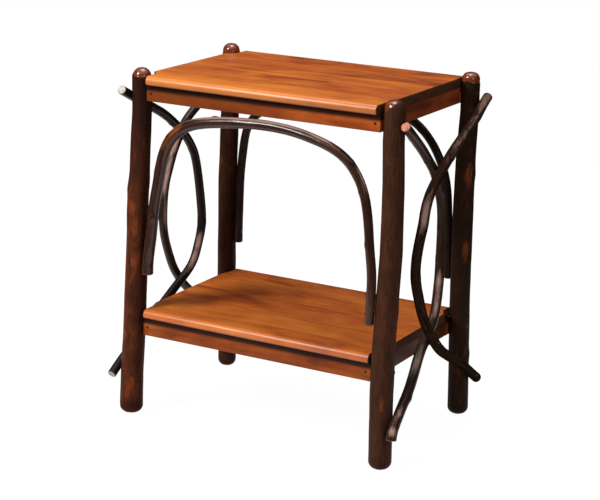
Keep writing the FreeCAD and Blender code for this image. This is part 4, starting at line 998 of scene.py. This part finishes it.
def cross_recess(grid, way):
    """A screw's rings with a cross pressed into the head: d clip((c - 0.9) / 0.08) (1 - s / 0.66), where
    c is the greater of |cos| and |sin| round the head, and s a ring's share of the head's radius."""
    spin = all_round(HEAD_AROUND)
    arm = np.clip((np.maximum(abs(np.cos(spin)), abs(np.sin(spin))) - 0.9) / 0.08, 0, 1)
    share = np.array(SCREW_RINGS)
    pressed = np.maximum(arm[None, :], (share < 0.15)[:, None])
    depth = RECESS_DEPTH * np.clip(1 - share / 0.66, 0, 1)[:, None] * pressed
    grid[: len(share)] += depth[..., None] * way
    return grid


steel = Finish("darkened_steel", specular=0.5)
steel.shade.inputs["Metallic"].default_value = 0.85
rubbed_and_highlight = steel.noise(steel.object_place(), (700, 700, 700), 5, 0.6)
steels = [(0.35, (0.02, 0.017, 0.015)), (0.55, (0.06, 0.05, 0.043)), (0.75, (0.16, 0.13, 0.11))]
steel.use("Base Color", steel.ramp(rubbed_and_highlight, steels))
steel.use("Roughness", steel.level(rubbed_and_highlight, 0.3, 0.7, 0.3, 0.55))
for name in ("apron_nails", "bow_nails", "arch_nails", "crossing_nails", "post_screws", "board_screws"):
    screws = "screws" in name
    grids = []
    for top, way, long, head in fasteners_in(name):
        profile = screw_profile(long, head) if screws else nail_profile(long, head)
        rings = turned_rows(top, way, profile, HEAD_AROUND)
        grids.append(cross_recess(rings, way) if screws else rings)
    piece = closed_tubes(name + "_turned", grids)
    piece.data.set_sharp_from_angle(angle=SHARP_STEEL)
    piece.data.materials.append(steel.material)
    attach(piece, "root")
    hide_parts(name)

# How far a plug stands out of the bark, and the rings of its rounded edge: how deep, and how wide.
PLUG_STANDS = 0.2 * MM
PLUG_RINGS = ((0.0, 0.3), (0.05 * MM, 0.9), (0.25 * MM, 1.0))
PLUG_COLOURS = ((0.016, 0.006, 0.004), (0.03, 0.011, 0.006), (0.045, 0.015, 0.008), (0.07, 0.022, 0.011))
plugs = []
for top, way, _, head in fasteners_in("post_screws"):
    points = np.concatenate(bark_points) - top
    depth = points @ way
    near = (np.linalg.norm(points - depth[:, None] * way, axis=1) < head) & (depth < 0)
    outer = depth[near].min() - PLUG_STANDS
    profile = [(outer + sunk, share * head) for sunk, share in PLUG_RINGS] + [(-0.1 * MM, head)]
    plugs.append(turned_rows(top, way, profile, HEAD_AROUND))
piece = closed_tubes("post_plugs", plugs)
piece.data.set_sharp_from_angle(angle=SHARP_STEEL)
piece.data.materials.append(sawn_wood("plug_stain", PLUG_COLOURS, APRON_STRIP, (0.45, 0.06, None), seed=1.7))
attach(piece, "root")

# The studio: a white floor that keeps the table's shadow, white surroundings, soft lamps, and a near
# and a far ring of dark card, which only reflections see. They keep the glare off the lacquer.
FLOOR_REACH = 30
FLOOR_GLOW, FLOOR_GLOW_SHARE = 1.13, 0.86
paper = Finish("floor_paper", roughness=0.9, specular=0.1)
paper.shade.inputs["Base Color"].default_value = (0.55, 0.55, 0.55, 1)


def seen_directly(tree):
    """1 for camera, glossy and transmission rays, and 0 for light that falls on things."""
    path = tree.nodes.new("ShaderNodeLightPath")
    value = path.outputs["Is Camera Ray"]
    for ray in ("Is Glossy Ray", "Is Transmission Ray"):
        either = tree.nodes.new("ShaderNodeMath")
        either.operation = "MAXIMUM"
        tree.links.new(value, either.inputs[0])
        tree.links.new(path.outputs[ray], either.inputs[1])
        value = either.outputs["Value"]
    return value


white = paper.node("Emission", {"Color": (1, 1, 1, 1), "Strength": FLOOR_GLOW})
shadow_kept = paper.maths("MULTIPLY", seen_directly(paper.tree), FLOOR_GLOW_SHARE)
mix = paper.node("MixShader", {0: shadow_kept, 1: paper.shade.outputs["BSDF"], 2: white.outputs["Emission"]})
paper.tree.links.new(mix.outputs["Shader"], paper.tree.nodes["Material Output"].inputs["Surface"])
floor_corners = FLOOR_REACH * np.array([(-1, -1, 0), (1, -1, 0), (1, 1, 0), (-1, 1, 0)])
floor = new_piece("floor", floor_corners, [(0, 1, 2, 3)], False)
floor.data.materials.append(paper.material)

card = Finish("flag_card", roughness=1.0, specular=0.0)
card.shade.inputs["Base Color"].default_value = (0.01, 0.01, 0.01, 1)
# Each ring's name, radius, and lower and upper edge.
CARDS = (("near_cards", 1.0, 0.02, 0.75), ("far_cards", 4.4, 0.3, 4.6))
CARD_AROUND = 48
ring = all_round(CARD_AROUND)
circle = np.stack([np.cos(ring), np.sin(ring), 0 * ring], axis=1)
for name, card_reach, card_low, card_high in CARDS:
    corners = np.concatenate([circle * card_reach + [0, 0, height] for height in (card_low, card_high)])
    flags = new_piece(name, corners, ring_walls(2, CARD_AROUND).tolist())
    flags.data.materials.append(card.material)
    for ray in ("camera", "diffuse", "shadow", "transmission"):
        setattr(flags, "visible_" + ray, False)

# The surroundings light the table faintly, and are plain white where they are seen.
SKY_STRENGTH = 0.3
world = bpy.data.worlds.new("studio")
bpy.context.scene.world = world
world.use_nodes = True
surroundings = world.node_tree
sky = surroundings.nodes["Background"]
plain_white = surroundings.nodes.new("ShaderNodeBackground")
for background, strength in ((sky, SKY_STRENGTH), (plain_white, 1.0)):
    background.inputs["Color"].default_value = (1, 1, 1, 1)
    background.inputs["Strength"].default_value = strength
mix = surroundings.nodes.new("ShaderNodeMixShader")
surroundings.links.new(seen_directly(surroundings), mix.inputs[0])
surroundings.links.new(sky.outputs["Background"], mix.inputs[1])
surroundings.links.new(plain_white.outputs["Background"], mix.inputs[2])
surroundings.links.new(mix.outputs["Shader"], surroundings.nodes["World Output"].inputs["Surface"])

# Each lamp's name, place, width and power. They all point at the middle of the table.
LAMPS_AIM = (0.0, 0.0, 0.35)
LAMPS = (
    ("front_left_softbox", (-1.35, -2.25, 2.3), 1.0, 80),
    ("right_softbox", (2.4, -1.4, 1.4), 0.7, 6),
    ("top_softbox", (0.0, 0.1, 2.9), 1.3, 34),
)
for name, place, width, power in LAMPS:
    lamp = bpy.data.lights.new(name, "AREA")
    lamp.shape = "DISK"
    lamp.size = width
    lamp.energy = power
    holder = bpy.data.objects.new(name, lamp)
    bpy.context.scene.collection.objects.link(holder)
    way = Vector(LAMPS_AIM) - Vector(place)
    holder.matrix_world = Matrix.Translation(place) @ way.to_track_quat("-Z", "Y").to_matrix().to_4x4()

# The camera stands where the photograph was taken from, found from the boards' corners, the nail
# holes and the posts.
AZIMUTH, ELEVATION, ROLL = math.radians(29.15), math.radians(15.52), math.radians(1.34)
FOCAL_PIXELS, WIDTH_PIXELS = 1848.4, 600
CAMERA_PLACE = (1.6099, -2.8898, 1.2394)
lens = bpy.data.cameras.new("camera")
lens.sensor_width = 36
lens.lens = FOCAL_PIXELS / WIDTH_PIXELS * lens.sensor_width
lens.clip_end = 50
camera = bpy.data.objects.new("camera", lens)
bpy.context.scene.collection.objects.link(camera)
turned = Matrix.Rotation(AZIMUTH, 4, "Z") @ Matrix.Rotation(math.pi / 2 - ELEVATION, 4, "X")
camera.matrix_world = Matrix.Translation(CAMERA_PLACE) @ turned @ Matrix.Rotation(ROLL, 4, "Z")
bpy.context.scene.camera = camera
bpy.context.scene.view_settings.view_transform = "Standard"
